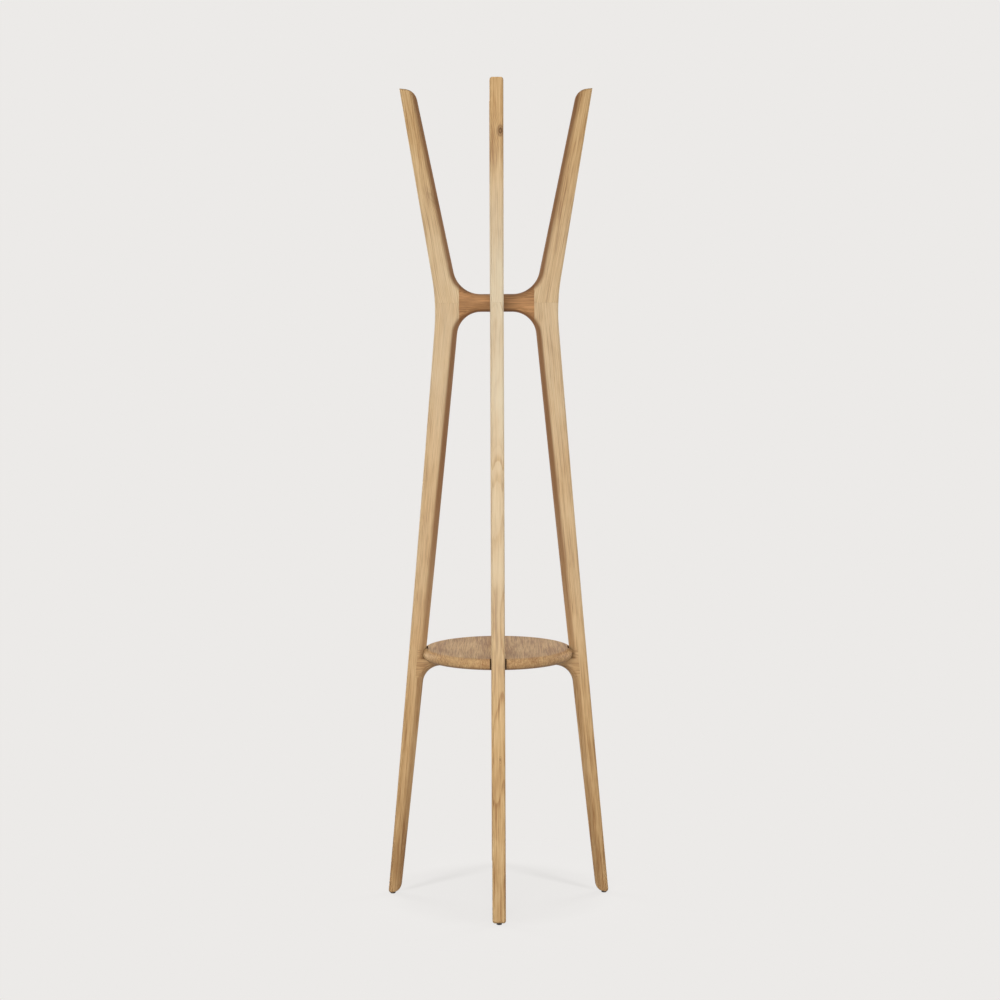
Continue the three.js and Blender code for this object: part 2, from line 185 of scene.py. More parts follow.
class FittingSizes(bpy.types.PropertyGroup):
    """Dowels, screws and glides. Their outer sizes come from the frame."""

    hole_room: length("Hole room", 0.0002, "Between a fitting and the wall of its hole")
    screw_shank: length("Screw shank", 0.004, "Diameter over the thread")
    screw_head: length("Screw head", 0.0026, "Height of the countersunk head")
    glide_plate: length("Glide plate", 0.0042, "Thickness of a glide under its stem")
    glide_stem: length("Glide stem", 0.006, "Diameter over the barbs")
    flutes: IntProperty(name="Flutes", default=20, description="Round a dowel")
    flute_depth: length("Flute depth", 0.0003, "Of a dowel's flutes")
    dowel_chamfer: length("Dowel chamfer", 0.001, "At both ends of a dowel")
    thread_pitch: length("Thread pitch", 0.0018, "Of a screw")
    thread_depth: length("Thread depth", 0.0006, "Of a screw")
    recess_depth: length("Recess depth", 0.0018, "Of the cross in a screw's head")
    glide_edge: length("Glide edge", 0.0006, "Rounding of a glide's lower edge")
    barb_depth: length("Barb depth", 0.0005, "Of the barbs on a glide's stem")
    barbs: IntProperty(name="Barbs", default=4, description="On a glide's stem")
    seed: IntProperty(name="Seed", default=7, description="For how each screw came to rest")


class OakLook(bpy.types.PropertyGroup):
    """The oak and its finish."""

    pale: colour("Pale", (214, 182, 135), "Palest wood")
    middle: colour("Middle", (194, 157, 108), "Most of the wood")
    deep: colour("Deep", (150, 107, 65), "Early wood, pores and streaks")
    warm: colour("Warm", (174, 127, 84), "Wood from nearer the heart of the log")
    # Painted sheen: the pale reflection of the light in front, painted into the oak's colour
    painted_sheen: colour("Painted sheen", (214, 198, 169), "Painted sheen of the oil near the waist")
    # Painted shade on faces turned into the rack or down; end grain takes the same colour
    painted_shade: colour("Painted shade and end grain", (122, 82, 49), "Painted shade on faces turned into the rack or down, and end grain")
    knot: colour("Knot", (98, 66, 40), "Knots")
    ring_width: length("Ring width", 0.0031, "Between two growth rings")
    roughness: share("Roughness", 0.50, "Of the oiled surface")
    gloss: share("Gloss", 0.35, "Strength of the oil's reflections")


class StageLook(bpy.types.PropertyGroup):
    """Floor, lights and camera."""

    backdrop: colour("Backdrop", (236, 234, 232), "Floor and background")
    # Painted shadow of the rack on the floor under it
    under: colour("Under", (233, 231, 229), "Floor under the rack")
    # Painted shadows of the side legs behind their feet
    leg_shadow_trail: colour("Trail", (222, 220, 218), "Floor behind the feet at the sides")
    camera_distance: length("Camera distance", 4.13, "From the rack's axis, level")
    camera_height: length("Camera height", 1.2185, "Above the floor")
    key_power: share("Key power", 42.5, "Watts of the large light in front")
    back_power: share("Back power", 41.0, "Watts of each large light behind the sides")
    top_power: share("Top power", 80.0, "Watts of the light overhead")
    ambient: share("Ambient", 0.27, "Brightness of the room around")
    shadow: share("Shadow", 0.09, "Share of the rack's shadow that the floor keeps")


# ---- outlines in the plane of a post ----


def at(radius, height):
    """A point in the plane of a post."""
    return Vector((radius, height))


def mix(start, end, part):
    """The value a part of the way from start to end."""
    return start + (end - start) * part


def mirrored(points):
    """The points on the other side of the axis, in the order that closes the outline."""
    return [at(-p.x, p.y) for p in reversed(points)]


def rounded_corner(before, corner, after, radius, steps=14):
    """The points of an arc that rounds off a corner between two straight stretches."""
    back = (before - corner).normalized()
    ahead = (after - corner).normalized()
    half = back.angle(ahead) / 2
    centre = corner + (back + ahead).normalized() * (radius / math.sin(half))
    start = corner + back * (radius / math.tan(half)) - centre
    end = corner + ahead * (radius / math.tan(half)) - centre
    turn = math.atan2(start.cross(end), start.dot(end))
    return [centre + Matrix.Rotation(turn * i / steps, 2) @ start for i in range(steps + 1)]


class Post:
    """The faces of a post, and the outlines that its pieces are cut to."""

    def __init__(self, sizes, rails):
        self.sizes = sizes
        self.rails = rails
        self.waist = LEG_HIGH.z + JOINT_GAP / 2
        self.top = FRAME_HIGH.z
        self.foot = LEG_LOW.z
        self.hub_reach = HUB_HIGH.x + JOINT_GAP / 2
        self.hub_top = self.waist + rails.hub_height / 2
        self.hub_bottom = self.waist - rails.hub_height / 2
        self.bearer_top = STAVE_LOW.z - JOINT_GAP
        self.bearer_bottom = self.bearer_top - rails.bearer_thickness
        self.half_line = rails.glue_line / 2
        self.hub_face = self.hub_reach + self.half_line
        self.housing_low = BEARER_LOW.z - JOINT_GAP / 2
        self.housing_high = BEARER_HIGH.z + JOINT_GAP / 2

    def leg_outer(self, height):
        """Radius of the outer face of a leg."""
        s = self.sizes
        part = height / self.waist
        return mix(s.foot_radius, s.waist_radius, part) - 4 * s.bow * part * (1 - part)

    def leg_inner(self, height):
        """Radius of the inner face of a leg."""
        s = self.sizes
        return self.leg_outer(height) - mix(s.foot_depth, s.waist_depth, height / self.waist)

    def arm_outer(self, height):
        """Radius of the outer face of an arm."""
        s = self.sizes
        part = (height - self.waist) / (self.top - self.waist)
        return mix(s.waist_radius, s.tip_radius, part)

    def arm_inner(self, height):
        """Radius of the inner face of an arm."""
        s = self.sizes
        part = (height - self.waist) / (self.top - self.waist)
        return self.arm_outer(height) - mix(s.waist_depth, s.tip_depth, part)

    def outline(self):
        """Outer face, tip and foot of a whole post, run past the hub on the inner side."""
        s = self.sizes
        sole_top = self.foot + s.foot_rise
        foot_inside = at(self.leg_inner(sole_top), sole_top)
        foot_outside = at(self.leg_outer(self.foot), self.foot)
        low = self.foot + s.width
        low_leg = at(self.leg_outer(low), low)
        low_inside = at(self.leg_inner(low), low)
        below = self.waist - s.bend_half
        above = self.waist + s.bend_half
        bend = rounded_corner(
            at(self.leg_outer(below), below),
            at(s.waist_radius, self.waist),
            at(self.arm_outer(above), above),
            s.waist_bend,
        )
        foot_knee = rounded_corner(low_inside, foot_inside, foot_outside, s.foot_round)
        tip_low = self.top - s.tip_fall
        tip_inside = at(self.arm_inner(tip_low), tip_low)
        tip_outside = at(s.tip_radius, self.top)
        high_inside = at(self.arm_inner(self.hub_top), self.hub_top)
        tip_knee = rounded_corner(tip_outside, tip_inside, high_inside, s.tip_round)
        foot_edge = rounded_corner(foot_inside, foot_outside, low_leg, s.foot_corner)
        face = along(self.leg_outer, foot_edge[-1].y, bend[0].y)[1:-1]
        return [
            *foot_edge,
            *face,
            *bend,
            tip_outside,
            *tip_knee,
            at(-self.hub_reach, tip_knee[-1].y),
            at(-self.hub_reach, foot_knee[0].y),
            *foot_knee,
        ]

    def hub_upper_side(self):
        """Top of a hub rail, filleted into the inner side of an arm."""
        corner = at(self.arm_inner(self.hub_top), self.hub_top)
        high = at(self.arm_inner(self.top), self.top)
        return rounded_corner(at(0, self.hub_top), corner, high, self.rails.hub_upper_fillet)

    def side_below(self, height, fillet):
        """Inner side of a leg, filleted into the underside of a rail at a height."""
        under = height - 2 * fillet
        low = at(self.leg_inner(under), under)
        return rounded_corner(low, at(self.leg_inner(height), height), at(0, height), fillet)

    def hub_lower_side(self):
        """Inner side of a leg and the underside of a hub rail."""
        return self.side_below(self.hub_bottom, self.rails.hub_lower_fillet)

    def bearer_lower_side(self):
        """Inner side of a leg and the underside of a bearer rail."""
        return self.side_below(self.bearer_bottom, self.rails.bearer_fillet)

    def housing(self, margin):
        """The housing in a leg for the end of a bearer rail, larger all round by a margin."""
        low = self.housing_low - margin
        high = self.housing_high + margin
        wall = self.rails.housing_wall - margin
        return cutter(
            [
                at(-BEYOND, low),
                at(self.leg_outer(low) - wall, low),
                at(self.leg_outer(high) - wall, high),
                at(-BEYOND, high),
            ]
        )


def along(edge, low, high, steps=24):
    """Points up or down an edge of a post, from one height to another."""
    heights = [mix(low, high, i / steps) for i in range(steps + 1)]
    return [at(edge(height), height) for height in heights]


# ---- solids ----


def in_scene(name, data):
    """A new object of some data, put into the scene."""
    thing = bpy.data.objects.new(name, data)
    bpy.context.scene.collection.objects.link(thing)
    return thing


def solid(points, faces):
    """A closed mesh with its faces pointing out."""
    mesh = bpy.data.meshes.new("solid")
    mesh.from_pydata(points, [], faces)
    form = bmesh.new()
    form.from_mesh(mesh)
    bmesh.ops.recalc_face_normals(form, faces=form.faces)
    form.to_mesh(mesh)
    form.free()
    return mesh


def inward(outline):
    """For each corner of an outline, the move that takes its two sides in by one."""
    turned = sum(a.cross(b) for a, b in zip(outline, outline[1:] + outline[:1]))
    sign = 1 if turned > 0 else -1
    moves = []
    for i, corner in enumerate(outline):
        before = (corner - outline[i - 1]).normalized()
        after = (outline[(i + 1) % len(outline)] - corner).normalized()
        first = at(-before.y, before.x) * sign
        second = at(-after.y, after.x) * sign
        moves.append((first + second) / (1 + first.dot(second)))
    return moves


def quarter_round(width, radius, steps=6):
    """The edge of a plank as (distance from its middle, inset), rounded to a quarter circle."""
    angles = [math.pi / 2 * i / steps for i in range(steps + 1)]
    return [(width / 2 - radius * (1 - math.cos(a)), radius * (1 - math.sin(a))) for a in angles]


def full_round(width, reach, fullness, flat, steps=14):
    """The edge of a plank, curved from its sides right to a narrow flat on its middle."""
    half = (width - flat) / 2
    power = 2 / fullness
    angles = [math.pi / 2 * (1 - i / steps) for i in range(steps + 1)]
    outs = [flat / 2 + half * math.sin(a) ** power for a in angles]
    return list(zip(outs, [reach * (1 - math.cos(a) ** power) for a in angles]))


def plank(outline, edge):
    """A solid with an outline, whose long edges have the given profile on both sides."""
    moves = inward(outline)
    layers = [(-y, inset) for y, inset in edge] + [(y, inset) for y, inset in reversed(edge)]
    points = []
    for y, inset in layers:
        for corner, move in zip(outline, moves):
            point = corner + move * inset
            points.append((point.x, y, point.y))
    count = len(outline)
    faces = [tuple(range(count)), tuple(range(len(points) - count, len(points)))]
    for layer in range(len(layers) - 1):
        low = layer * count
        for i in range(count):
            j = (i + 1) % count
            faces.append((low + i, low + j, low + count + j, low + count + i))
    return solid(points, faces)


def cutter(outline, width=BEYOND):
    """A square-edged solid of an outline, wider than any post."""
    count = len(outline)
    points = [(p.x, y, p.y) for y in (-width / 2, width / 2) for p in outline]
    faces = [tuple(range(count)), tuple(range(count, 2 * count))]
    faces += [(i, (i + 1) % count, count + (i + 1) % count, count + i) for i in range(count)]
    return solid(points, faces)


def block(low, high):
    """A block between two corners."""
    outline = [at(low[0], low[2]), at(high[0], low[2]), at(high[0], high[2]), at(low[0], high[2])]
    mesh = cutter(outline, high[1] - low[1])
    mesh.transform(Matrix.Translation((0, (low[1] + high[1]) / 2, 0)))
    return mesh


def turned_solid(profile, steps, radius_at=None):
    """A solid turned about the Z axis from a profile that starts and ends on the axis.

    radius_at(radius, height, angle) may change the radius round the axis, as flutes and
    threads do.
    """
    points = [(0, 0, profile[0].y), (0, 0, profile[-1].y)]
    rings = profile[1:-1]
    for point in rings:
        for i in range(steps):
            angle = 2 * math.pi * i / steps
            radius = radius_at(point.x, point.y, angle) if radius_at else point.x
            points.append((radius * math.cos(angle), radius * math.sin(angle), point.y))
    faces = []
    for i in range(steps):
        j = (i + 1) % steps
        for ring in range(len(rings) - 1):
            low, high = 2 + ring * steps, 2 + (ring + 1) * steps
            faces.append((low + i, low + j, high + j, high + i))
        last = 2 + (len(rings) - 1) * steps
        faces.append((0, 2 + j, 2 + i))
        faces.append((1, last + i, last + j))
    return solid(points, faces)


def pin(start, end, diameter, steps=32):
    """A round pin between two points."""
    way = Vector(end) - Vector(start)
    half = way.length / 2
    profile = [at(0, -half), at(diameter / 2, -half), at(diameter / 2, half), at(0, half)]
    mesh = turned_solid(profile, steps)
    middle = (Vector(start) + Vector(end)) / 2
    mesh.transform(Matrix.Translation(middle) @ way.to_track_quat("Z", "Y").to_matrix().to_4x4())
    return mesh


def carved(base, *steps):
    """The base after each (operation, mesh) step, where an operation is a boolean's."""
    work = in_scene("work", base)
    tools = [in_scene("tool", mesh) for _, mesh in steps]
    for tool, (operation, _) in zip(tools, steps):
        cut = work.modifiers.new("cut", "BOOLEAN")
        cut.operation = operation
        cut.solver = "MANIFOLD"
        cut.object = tool
    result = evaluated(work)
    for tool in [*tools, work]:
        bpy.data.objects.remove(tool)
    return result


def less(*tools):
    """The steps that take cutting tools away from a base."""
    return [("DIFFERENCE", tool) for tool in tools]


def evaluated(thing):
    """A plain mesh of an object as its modifiers leave it."""
    graph = bpy.context.evaluated_depsgraph_get()
    graph.update()
    return bpy.data.meshes.new_from_object(thing.evaluated_get(graph))


def turn(mesh, quarters):
    """A copy of a mesh, turned about the Z axis by quarter turns."""
    copy = mesh.copy()
    copy.transform(Matrix.Rotation(math.pi / 2 * quarters, 4, "Z"))
    return copy


# ---- pieces ----


SMOOTH_UP_TO = math.radians(32)


class Board:
    """The board that an oak piece was sawn from, and where the piece lay in it.

    axis and centre place the piece, pith is how far the board lay from the middle of the log,
    facing the side on which the log's middle was, lean how much the grain runs out of the
    board and run a place along the log. tone is its lightness, its warmth and its share of
    painted sheen. knot is a Knot, where it has one.
    """

    def __init__(self, axis, centre, pith, facing, lean=0.0, run=0.0, tone=(0, 0, 0), knot=None):
        self.length_axis = Vector(axis).normalized()
        self.centre = Vector(centre)
        self.tone = tone
        self.knot = knot
        toward = Vector(facing)
        toward -= self.length_axis * toward.dot(self.length_axis)
        toward.normalize()
        side = self.length_axis.cross(toward)
        to_board = Matrix((toward, side, self.length_axis)).to_4x4()
        self.place = (
            Matrix.Translation((-pith, 0, run))
            @ Matrix.Rotation(lean, 4, "Y")
            @ to_board
            @ Matrix.Translation(-self.centre)
        )

    def lay(self, mesh, in_recess):
        """Stores on each point its place in the log, its tone and its knot.

        The attribute facing holds, on each corner of a face, how far it faces the rack's axis
        or the ground, where the oak gets painted shade, how far it faces along the grain, and 1
        where in_recess is true of the face, where the oak gets painted shade as well.
        """
        for name in ("grain", "tone", "knot"):
            mesh.attributes.new(name, "FLOAT_VECTOR", "POINT")
        mesh.attributes.new("facing", "FLOAT_VECTOR", "CORNER")
        grain, tone, knot = (mesh.attributes[name].data for name in ("grain", "tone", "knot"))
        for index, vertex in enumerate(mesh.vertices):
            grain[index].vector = self.place @ vertex.co
            tone[index].vector = self.tone
            knot[index].vector = self.knot.near(vertex.co) if self.knot else NO_KNOT
        facing = mesh.attributes["facing"].data
        for polygon in mesh.polygons:
            recessed = float(in_recess(polygon))
            for index in polygon.loop_indices:
                normal = mesh.corner_normals[index].vector
                point = mesh.vertices[mesh.loops[index].vertex_index].co
                # how far a face turns into the rack or down, where the oak gets painted shade
                inner = max(0, -Vector((point.x, point.y, 0)).normalized().dot(normal))
                under = max(0, -2 * normal.z - 1)  # from 30 degrees below the level
                hidden = math.hypot(inner, under)
                facing[index].vector = (hidden, abs(normal.dot(self.length_axis)), recessed)


NO_KNOT = (100.0, 100.0, 0.0)  # far from any knot


class Knot:
    """A knot or swirl in a board, seen along the branch that made it."""

    def __init__(self, centre, branch, along, width, height, darkness):
        self.centre = Vector(centre)
        self.along = Vector(along).normalized()
        self.across = Vector(branch).cross(self.along).normalized()
        self.width = width
        self.height = height
        self.darkness = darkness

    def near(self, point):
        """How far a point is from the knot, across and along, in its own sizes."""
        offset = point - self.centre
        across = offset.dot(self.across) / self.width
        return (across, offset.dot(self.along) / self.height, self.darkness)


def nowhere(polygon):
    """False, for pieces without recesses."""
    return False


def finished(name, mesh, material, nodes, board=None, in_recess=nowhere):
    """An object of a finished mesh that rides on the rack and stands for CAD nodes."""
    for polygon in mesh.polygons:
        polygon.use_smooth = True
    mesh.set_sharp_from_angle(angle=SMOOTH_UP_TO)
    if board is not None:
        board.lay(mesh, in_recess)
    mesh.materials.clear()
    mesh.materials.append(material)
    piece = in_scene(name, mesh)
    weighted = piece.modifiers.new("even shading", "WEIGHTED_NORMAL")
    weighted.keep_sharp = True
    piece.data = evaluated(piece)
    piece.modifiers.clear()
    piece.data.name = name
    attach(piece, BODY)
    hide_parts(*nodes)
    return piece


# ---- shading ----


class Value:
    """A number in a node tree, on which arithmetic is written as in Python."""

    def __init__(self, tree, socket):
        self.tree = tree
        self.socket = socket

    def math(self, operation, *others):
        """A Math node with this value first."""
        node = self.tree.nodes.new("ShaderNodeMath")
        node.operation = operation
        for socket, value in zip(node.inputs, (self, *others)):
            plug(self.tree, socket, value)
        return Value(self.tree, node.outputs[0])

    def __add__(self, other):
        return self.math("ADD", other)

    def __sub__(self, other):
        return self.math("SUBTRACT", other)

    def __rsub__(self, other):
        return (self * -1) + other

    def __mul__(self, other):
        return self.math("MULTIPLY", other)

    def __truediv__(self, other):
        return self.math("DIVIDE", other)

    def __pow__(self, other):
        return self.math("POWER", other)

    def clamped(self):
        """This value, kept from 0 to 1."""
        result = self.math("ADD", 0)
        result.socket.node.use_clamp = True
        return result

    def between(self, low, high):
        """0 at low and 1 at high, with a smooth rise."""
        node = self.tree.nodes.new("ShaderNodeMapRange")
        node.interpolation_type = "SMOOTHSTEP"
        plug(self.tree, node.inputs["Value"], self)
        plug(self.tree, node.inputs["From Min"], low)
        plug(self.tree, node.inputs["From Max"], high)
        return Value(self.tree, node.outputs["Result"])


def plug(tree, socket, value):
    """Links a value or socket to a socket, or sets a plain number or colour on it."""
    if isinstance(value, Value):
        tree.links.new(value.socket, socket)
    elif isinstance(value, bpy.types.NodeSocket):
        tree.links.new(value, socket)
    elif socket.type == "RGBA" and len(value) == 3:
        socket.default_value = (*value, 1)
    else:
        socket.default_value = value


class Recipe:
    """A node tree being written."""

    def __init__(self, tree):
        self.tree = tree
        tree.nodes.clear()

    def node(self, kind, settings=None, **values):
        """A node with its settings, and with values or links on its named sockets."""
        node = self.tree.nodes.new(kind)
        for key, setting in (settings or {}).items():
            if key == "stops":
                self.set_stops(node.color_ramp, setting)
            else:
                setattr(node, key, setting)
        for key, value in values.items():
            name = key.replace("_", " ")
            socket = next(s for s in node.inputs if s.name == name and s.enabled)
            plug(self.tree, socket, value)
        return node

    def set_stops(self, ramp, stops):
        """Gives a colour ramp its (place, colour) stops."""
        for _ in range(len(stops) - len(ramp.elements)):
            ramp.elements.new(1)
        for element, (place, rgb) in zip(ramp.elements, stops):
            element.position = place
            element.color = (*rgb, 1)

    def value(self, socket):
        """A socket as a value for arithmetic."""
        return Value(self.tree, socket)

    def attribute(self, name):
        """The three values of a vector attribute."""
        node = self.node("ShaderNodeAttribute", {"attribute_name": name})
        return self.split(node.outputs["Vector"])

    def place(self):
        """Where a point lies on its object."""
        return self.split(self.node("ShaderNodeTexCoord").outputs["Object"])

    def split(self, vector):
        """The three values of a vector."""
        node = self.node("ShaderNodeSeparateXYZ", Vector=vector)
        return [self.value(output) for output in node.outputs]

    def vector(self, x, y, z):
        """A vector of three values."""
        return self.node("ShaderNodeCombineXYZ", X=x, Y=y, Z=z).outputs[0]

    def noise(self, x, y, z, detail=2.0, roughness=0.5):
        """Noise about 0 that changes over about one unit of its three values."""
        node = self.node(
            "ShaderNodeTexNoise",
            Vector=self.vector(x, y, z),
            Scale=1.0,
            Detail=detail,
            Roughness=roughness,
        )
        return self.value(node.outputs["Fac"]) - 0.5

    def shade(self, place, stops):
        """The colour at a place on a ramp of (place, colour) stops."""
        node = self.node("ShaderNodeValToRGB", {"stops": stops}, Fac=place.clamped())
        return node.outputs["Color"]

    def blend(self, factor, first, second):
        """A colour between two colours."""
        node = self.node("ShaderNodeMix", {"data_type": "RGBA"}, Factor=factor, A=first, B=second)
        return next(output for output in node.outputs if output.enabled)

    def relief(self, height, strength, distance):
        """The normal of a surface with a slight relief."""
        node = self.node("ShaderNodeBump", Height=height, Strength=strength, Distance=distance)
        return node.outputs["Normal"]

    def between_shaders(self, factor, first, second):
        """A shader between two shaders."""
        node = self.node("ShaderNodeMixShader", Fac=factor)
        plug(self.tree, node.inputs[1], first.outputs[0])
        plug(self.tree, node.inputs[2], second.outputs[0])
        return node

    def surface(self, shader, kind="ShaderNodeOutputMaterial"):
        """Makes a shader the surface of the tree's material or world."""
        self.node(kind, Surface=shader.outputs[0])

    def finish(self, **values):
        """Makes a solid surface with these values the surface of the tree's material."""
        self.surface(self.node("ShaderNodeBsdfPrincipled", **values))


def new_material(name):
    """A bare material and the recipe of its nodes."""
    made = bpy.data.materials.new(name)
    made.use_nodes = True
    return made, Recipe(made.node_tree)


# heights between which the oak changes
FOOT_PAINTED_SHADE = (0.05, 0.26)  # painted shade: the lower ends of the legs are darker
LEG_SHEEN = (0.35, 0.75)  # painted sheen comes in up the legs
WAIST_SHEEN = (0.90, 1.10)  # is full above the waist
TIP_SHEEN = (1.28, 1.66)  # and goes towards the tips
LEG_PAINTED_SHADE = (0.35, 0.95)  # the painted shade inside the rack is stronger at the waist
ARM_PAINTED_SHADE = (1.15, 1.45)  # and softer up the arms
TIP_END_GRAIN = (1.2, 1.5)  # the end grain of the tips is dark, and that of the shelf pale

NOTCH_SHADE = (0.05, 0.028, 0.013)  # painted shade on the walls of the shelf's notches, in its slits


def oiled_oak(look):
    """Oak with its growth rings, streaks, rays, pores and knots, under thin oil.

    It has a painted sheen near the waist, painted shade where its faces turn into the rack
    or down, on the walls of the shelf's notches and at the feet of its warmer legs. What
    multiplies a place in a noise is how many times the noise changes in a metre.
    """
    made, wood = new_material("oiled_oak")
    across, side, run = wood.attribute("grain")
    lightness, warmth, sheen_share = wood.attribute("tone")
    knot_across, knot_along, knot_darkness = wood.attribute("knot")
    inner, end, recessed = wood.attribute("facing")
    height = wood.place()[2]

    from_knot = (knot_across * knot_across + knot_along * knot_along) ** 0.5
    swirl = 1 - from_knot.between(0, 3)
    wander = wood.noise(across * 11, side * 11, run * 3.4, detail=2)
    drift = wood.noise(across * 9 + 11, side * 9, run * 2.6 + 5, detail=1)
    x = across + wander * 0.030
    y = side + drift * 0.022
    count = (x * x + y * y) ** 0.5 / look.ring_width + swirl * 2.5
    count = count + wood.noise(across * 70, side * 70, run * 7) * 0.9
    year = count.math("FLOOR")
    phase = count.math("FRACT")
    vigour = wood.node("ShaderNodeTexWhiteNoise", {"noise_dimensions": "1D"}, W=year)
    strength = wood.value(vigour.outputs["Value"]) * 0.8 + 0.2
    rings = (1 - phase.between(0.1, 0.7)) * phase.between(0.0, 0.12) * strength

    streak = wood.noise(across * 210, side * 210, run * 9, detail=3, roughness=0.6)
    fibre = wood.noise(across * 520, side * 520, run * 16, detail=2) * (1 - end * 0.7)
    cloud = wood.noise(across * 30, side * 30, run * 9, detail=3, roughness=0.6)
    rays = wood.noise(side * 900, across * 60, run * 45, detail=1).between(0.14, 0.24)
    pore_field = wood.noise(across * 2600, side * 2600, run * 70, detail=1)
    pores = (pore_field + rings * 0.12).between(0.13, 0.24)

    # painted shade: the lower ends of the warmer legs are darker, where the light falls off
    # towards the floor
    foot_shade = warmth * (1 - height.between(*FOOT_PAINTED_SHADE)) * 1.4
    tone = lightness - foot_shade + streak * 1.1 + cloud * 0.9 + fibre * 1.5 + 0.56
    tone = tone - rings * 0.34 - pores * 0.20 + rays * 0.05
    stops = (0.05, 0.5, 0.95)
    plain = wood.shade(tone, list(zip(stops, (look.deep, look.middle, look.pale))))
    from_heart = [tuple(Vector(look.warm) * part) for part in (0.6, 1.0, 1.3)]
    warmed = wood.blend(warmth, plain, wood.shade(tone, list(zip(stops, from_heart))))
    # painted sheen: the reflection of the light in front, palest near the waist and on the front
    # post
    sheen_mask = height.between(*LEG_SHEEN) * 0.6 + height.between(*WAIST_SHEEN) * 0.4
    sheen_mask = sheen_mask * (1 - height.between(*TIP_SHEEN)) * sheen_share
    sheen_mask = (sheen_mask * (1 - rings * 0.5 + cloud)).clamped()
    painted_sheen = wood.blend(sheen_mask, warmed, tuple(look.painted_sheen))
    core = (1 - from_knot.between(0.3, 1.1)) * knot_darkness
    skin = (from_knot * 2.2 + streak).math("FRACT").between(0.2, 0.6) * 0.5 + 0.5
    # painted shade on faces that turn into the rack or down, strongest near the waist
    turned = (inner * (1 - height.between(*ARM_PAINTED_SHADE) * 0.45)).between(0.0, 0.34)
    painted_shade = turned * (height.between(*LEG_PAINTED_SHADE) * 0.58 + 0.31)
    end_grain = end.between(0.75, 1.0) * (height.between(*TIP_END_GRAIN) * 0.75 + 0.05)
    # painted shade and the end grain share one dark colour
    shaded = wood.blend((painted_shade + end_grain).clamped(), painted_sheen, tuple(look.painted_shade))
    knotted = wood.blend((core * skin).clamped(), shaded, tuple(look.knot))
    # painted shade on the walls of the shelf's notches
    coloured = wood.blend(recessed * 0.9, knotted, NOTCH_SHADE)

    texture = streak * 0.3 + fibre * 0.3 - pores * 0.8 - rings * 0.2
    wood.finish(
        Base_Color=coloured,
        Specular_IOR_Level=look.gloss,
        Roughness=(streak * 0.10 + pores * 0.15 - rays * 0.05 + look.roughness).clamped(),
        Normal=wood.relief(texture, strength=0.10, distance=0.0004),
    )
    return made


def plain_beech():
    """Turned, unfinished beech with short dark flecks along its grain."""
    made, wood = new_material("turned_beech")
    x, y, z = wood.attribute("grain")
    streak = wood.noise(x * 300, y * 300, z * 30, detail=3)
    fleck = wood.noise(x * 900, y * 900, z * 300, detail=1).between(0.12, 0.22)
    pale, deep = (0.71, 0.50, 0.31), (0.50, 0.31, 0.17)
    wood.finish(
        Base_Color=wood.shade(streak - fleck * 0.3 + 0.5, [(0.2, deep), (0.8, pale)]),
        Roughness=(streak * 0.15 + 0.7).clamped(),
    )
    return made


def zinc_steel():
    """Zinc plated steel, a little cloudy."""
    made, metal = new_material("zinc_plated_steel")
    x, y, z = metal.place()
    cloud = metal.noise(x * 500, y * 500, z * 500, detail=3)
    pale, deep = (0.66, 0.67, 0.68), (0.42, 0.43, 0.45)
    metal.finish(
        Base_Color=metal.shade(cloud + 0.5, [(0.2, deep), (0.8, pale)]),
        Roughness=(cloud * 0.2 + 0.34).clamped(),
        Metallic=1.0,
    )
    return made


def black_plastic():
    """Matt black moulded plastic with a fine grain."""
    made, plastic = new_material("black_moulded_plastic")
    x, y, z = plastic.place()
    grit = plastic.noise(x * 2500, y * 2500, z * 2500, detail=2)
    scuff = plastic.noise(x * 260, y * 260, z * 260, detail=3)
    pale, deep = (0.032, 0.032, 0.034), (0.010, 0.010, 0.011)
    plastic.finish(
        Base_Color=plastic.shade(scuff + 0.5, [(0.3, deep), (0.8, pale)]),
        Roughness=(scuff * 0.2 + 0.5).clamped(),
        Normal=plastic.relief(grit, strength=0.2, distance=0.0001),
    )
    return made


MATERIALS = {}


def material(key):
    """A finished material, made the first time that it is asked for."""
    if key not in MATERIALS:
        makers = {
            "oak": lambda: oiled_oak(bpy.context.scene.rack_oak),
            "beech": plain_beech,
            "zinc_steel": zinc_steel,
            "black_plastic": black_plastic,
        }
        MATERIALS[key] = makers[key]()
    return MATERIALS[key]


# ---- fittings ----


def lie(node):
    """The two ends of a CAD pin's axis, and its diameter."""
    low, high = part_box(node)
    size = high - low
    axis = max(range(3), key=lambda i: size[i])
    reach = Vector((0, 0, 0))
    reach[axis] = size[axis] / 2
    centre = (low + high) / 2
    return centre - reach, centre + reach, size[(axis + 2) % 3]


def stand(node):
    """An upright CAD fitting's distance from the axis, lower end, upper end and diameter."""
    low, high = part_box(node)
    return (low.x + high.x) / 2, low.z, high.z, high.x - low.x


def bore(node, room):
    """The cutter of a dowel's hole."""
    start, end, diameter = lie(node)
    spare = (end - start).normalized() * room
    return pin(start - spare, end + spare, diameter + 2 * room)


def bores(room, *stems):
    """The cutters of dowels' holes at the right side."""
    return [bore(f"{stem}_right", room) for stem in stems]


def glide_seat(sizes):
    """The cutters of the seat that a glide and its stem are pressed into."""
    middle, _, top, diameter = stand(GLIDE)
    room = sizes.hole_room
    under, over = (middle, 0, -sizes.glide_plate), (middle, 0, sizes.glide_plate + room)
    plate = pin(under, over, diameter + 2 * room, 48)
    stem = pin((middle, 0, 0), (middle, 0, top + room), sizes.glide_stem + 2 * room)
    return [plate, stem]


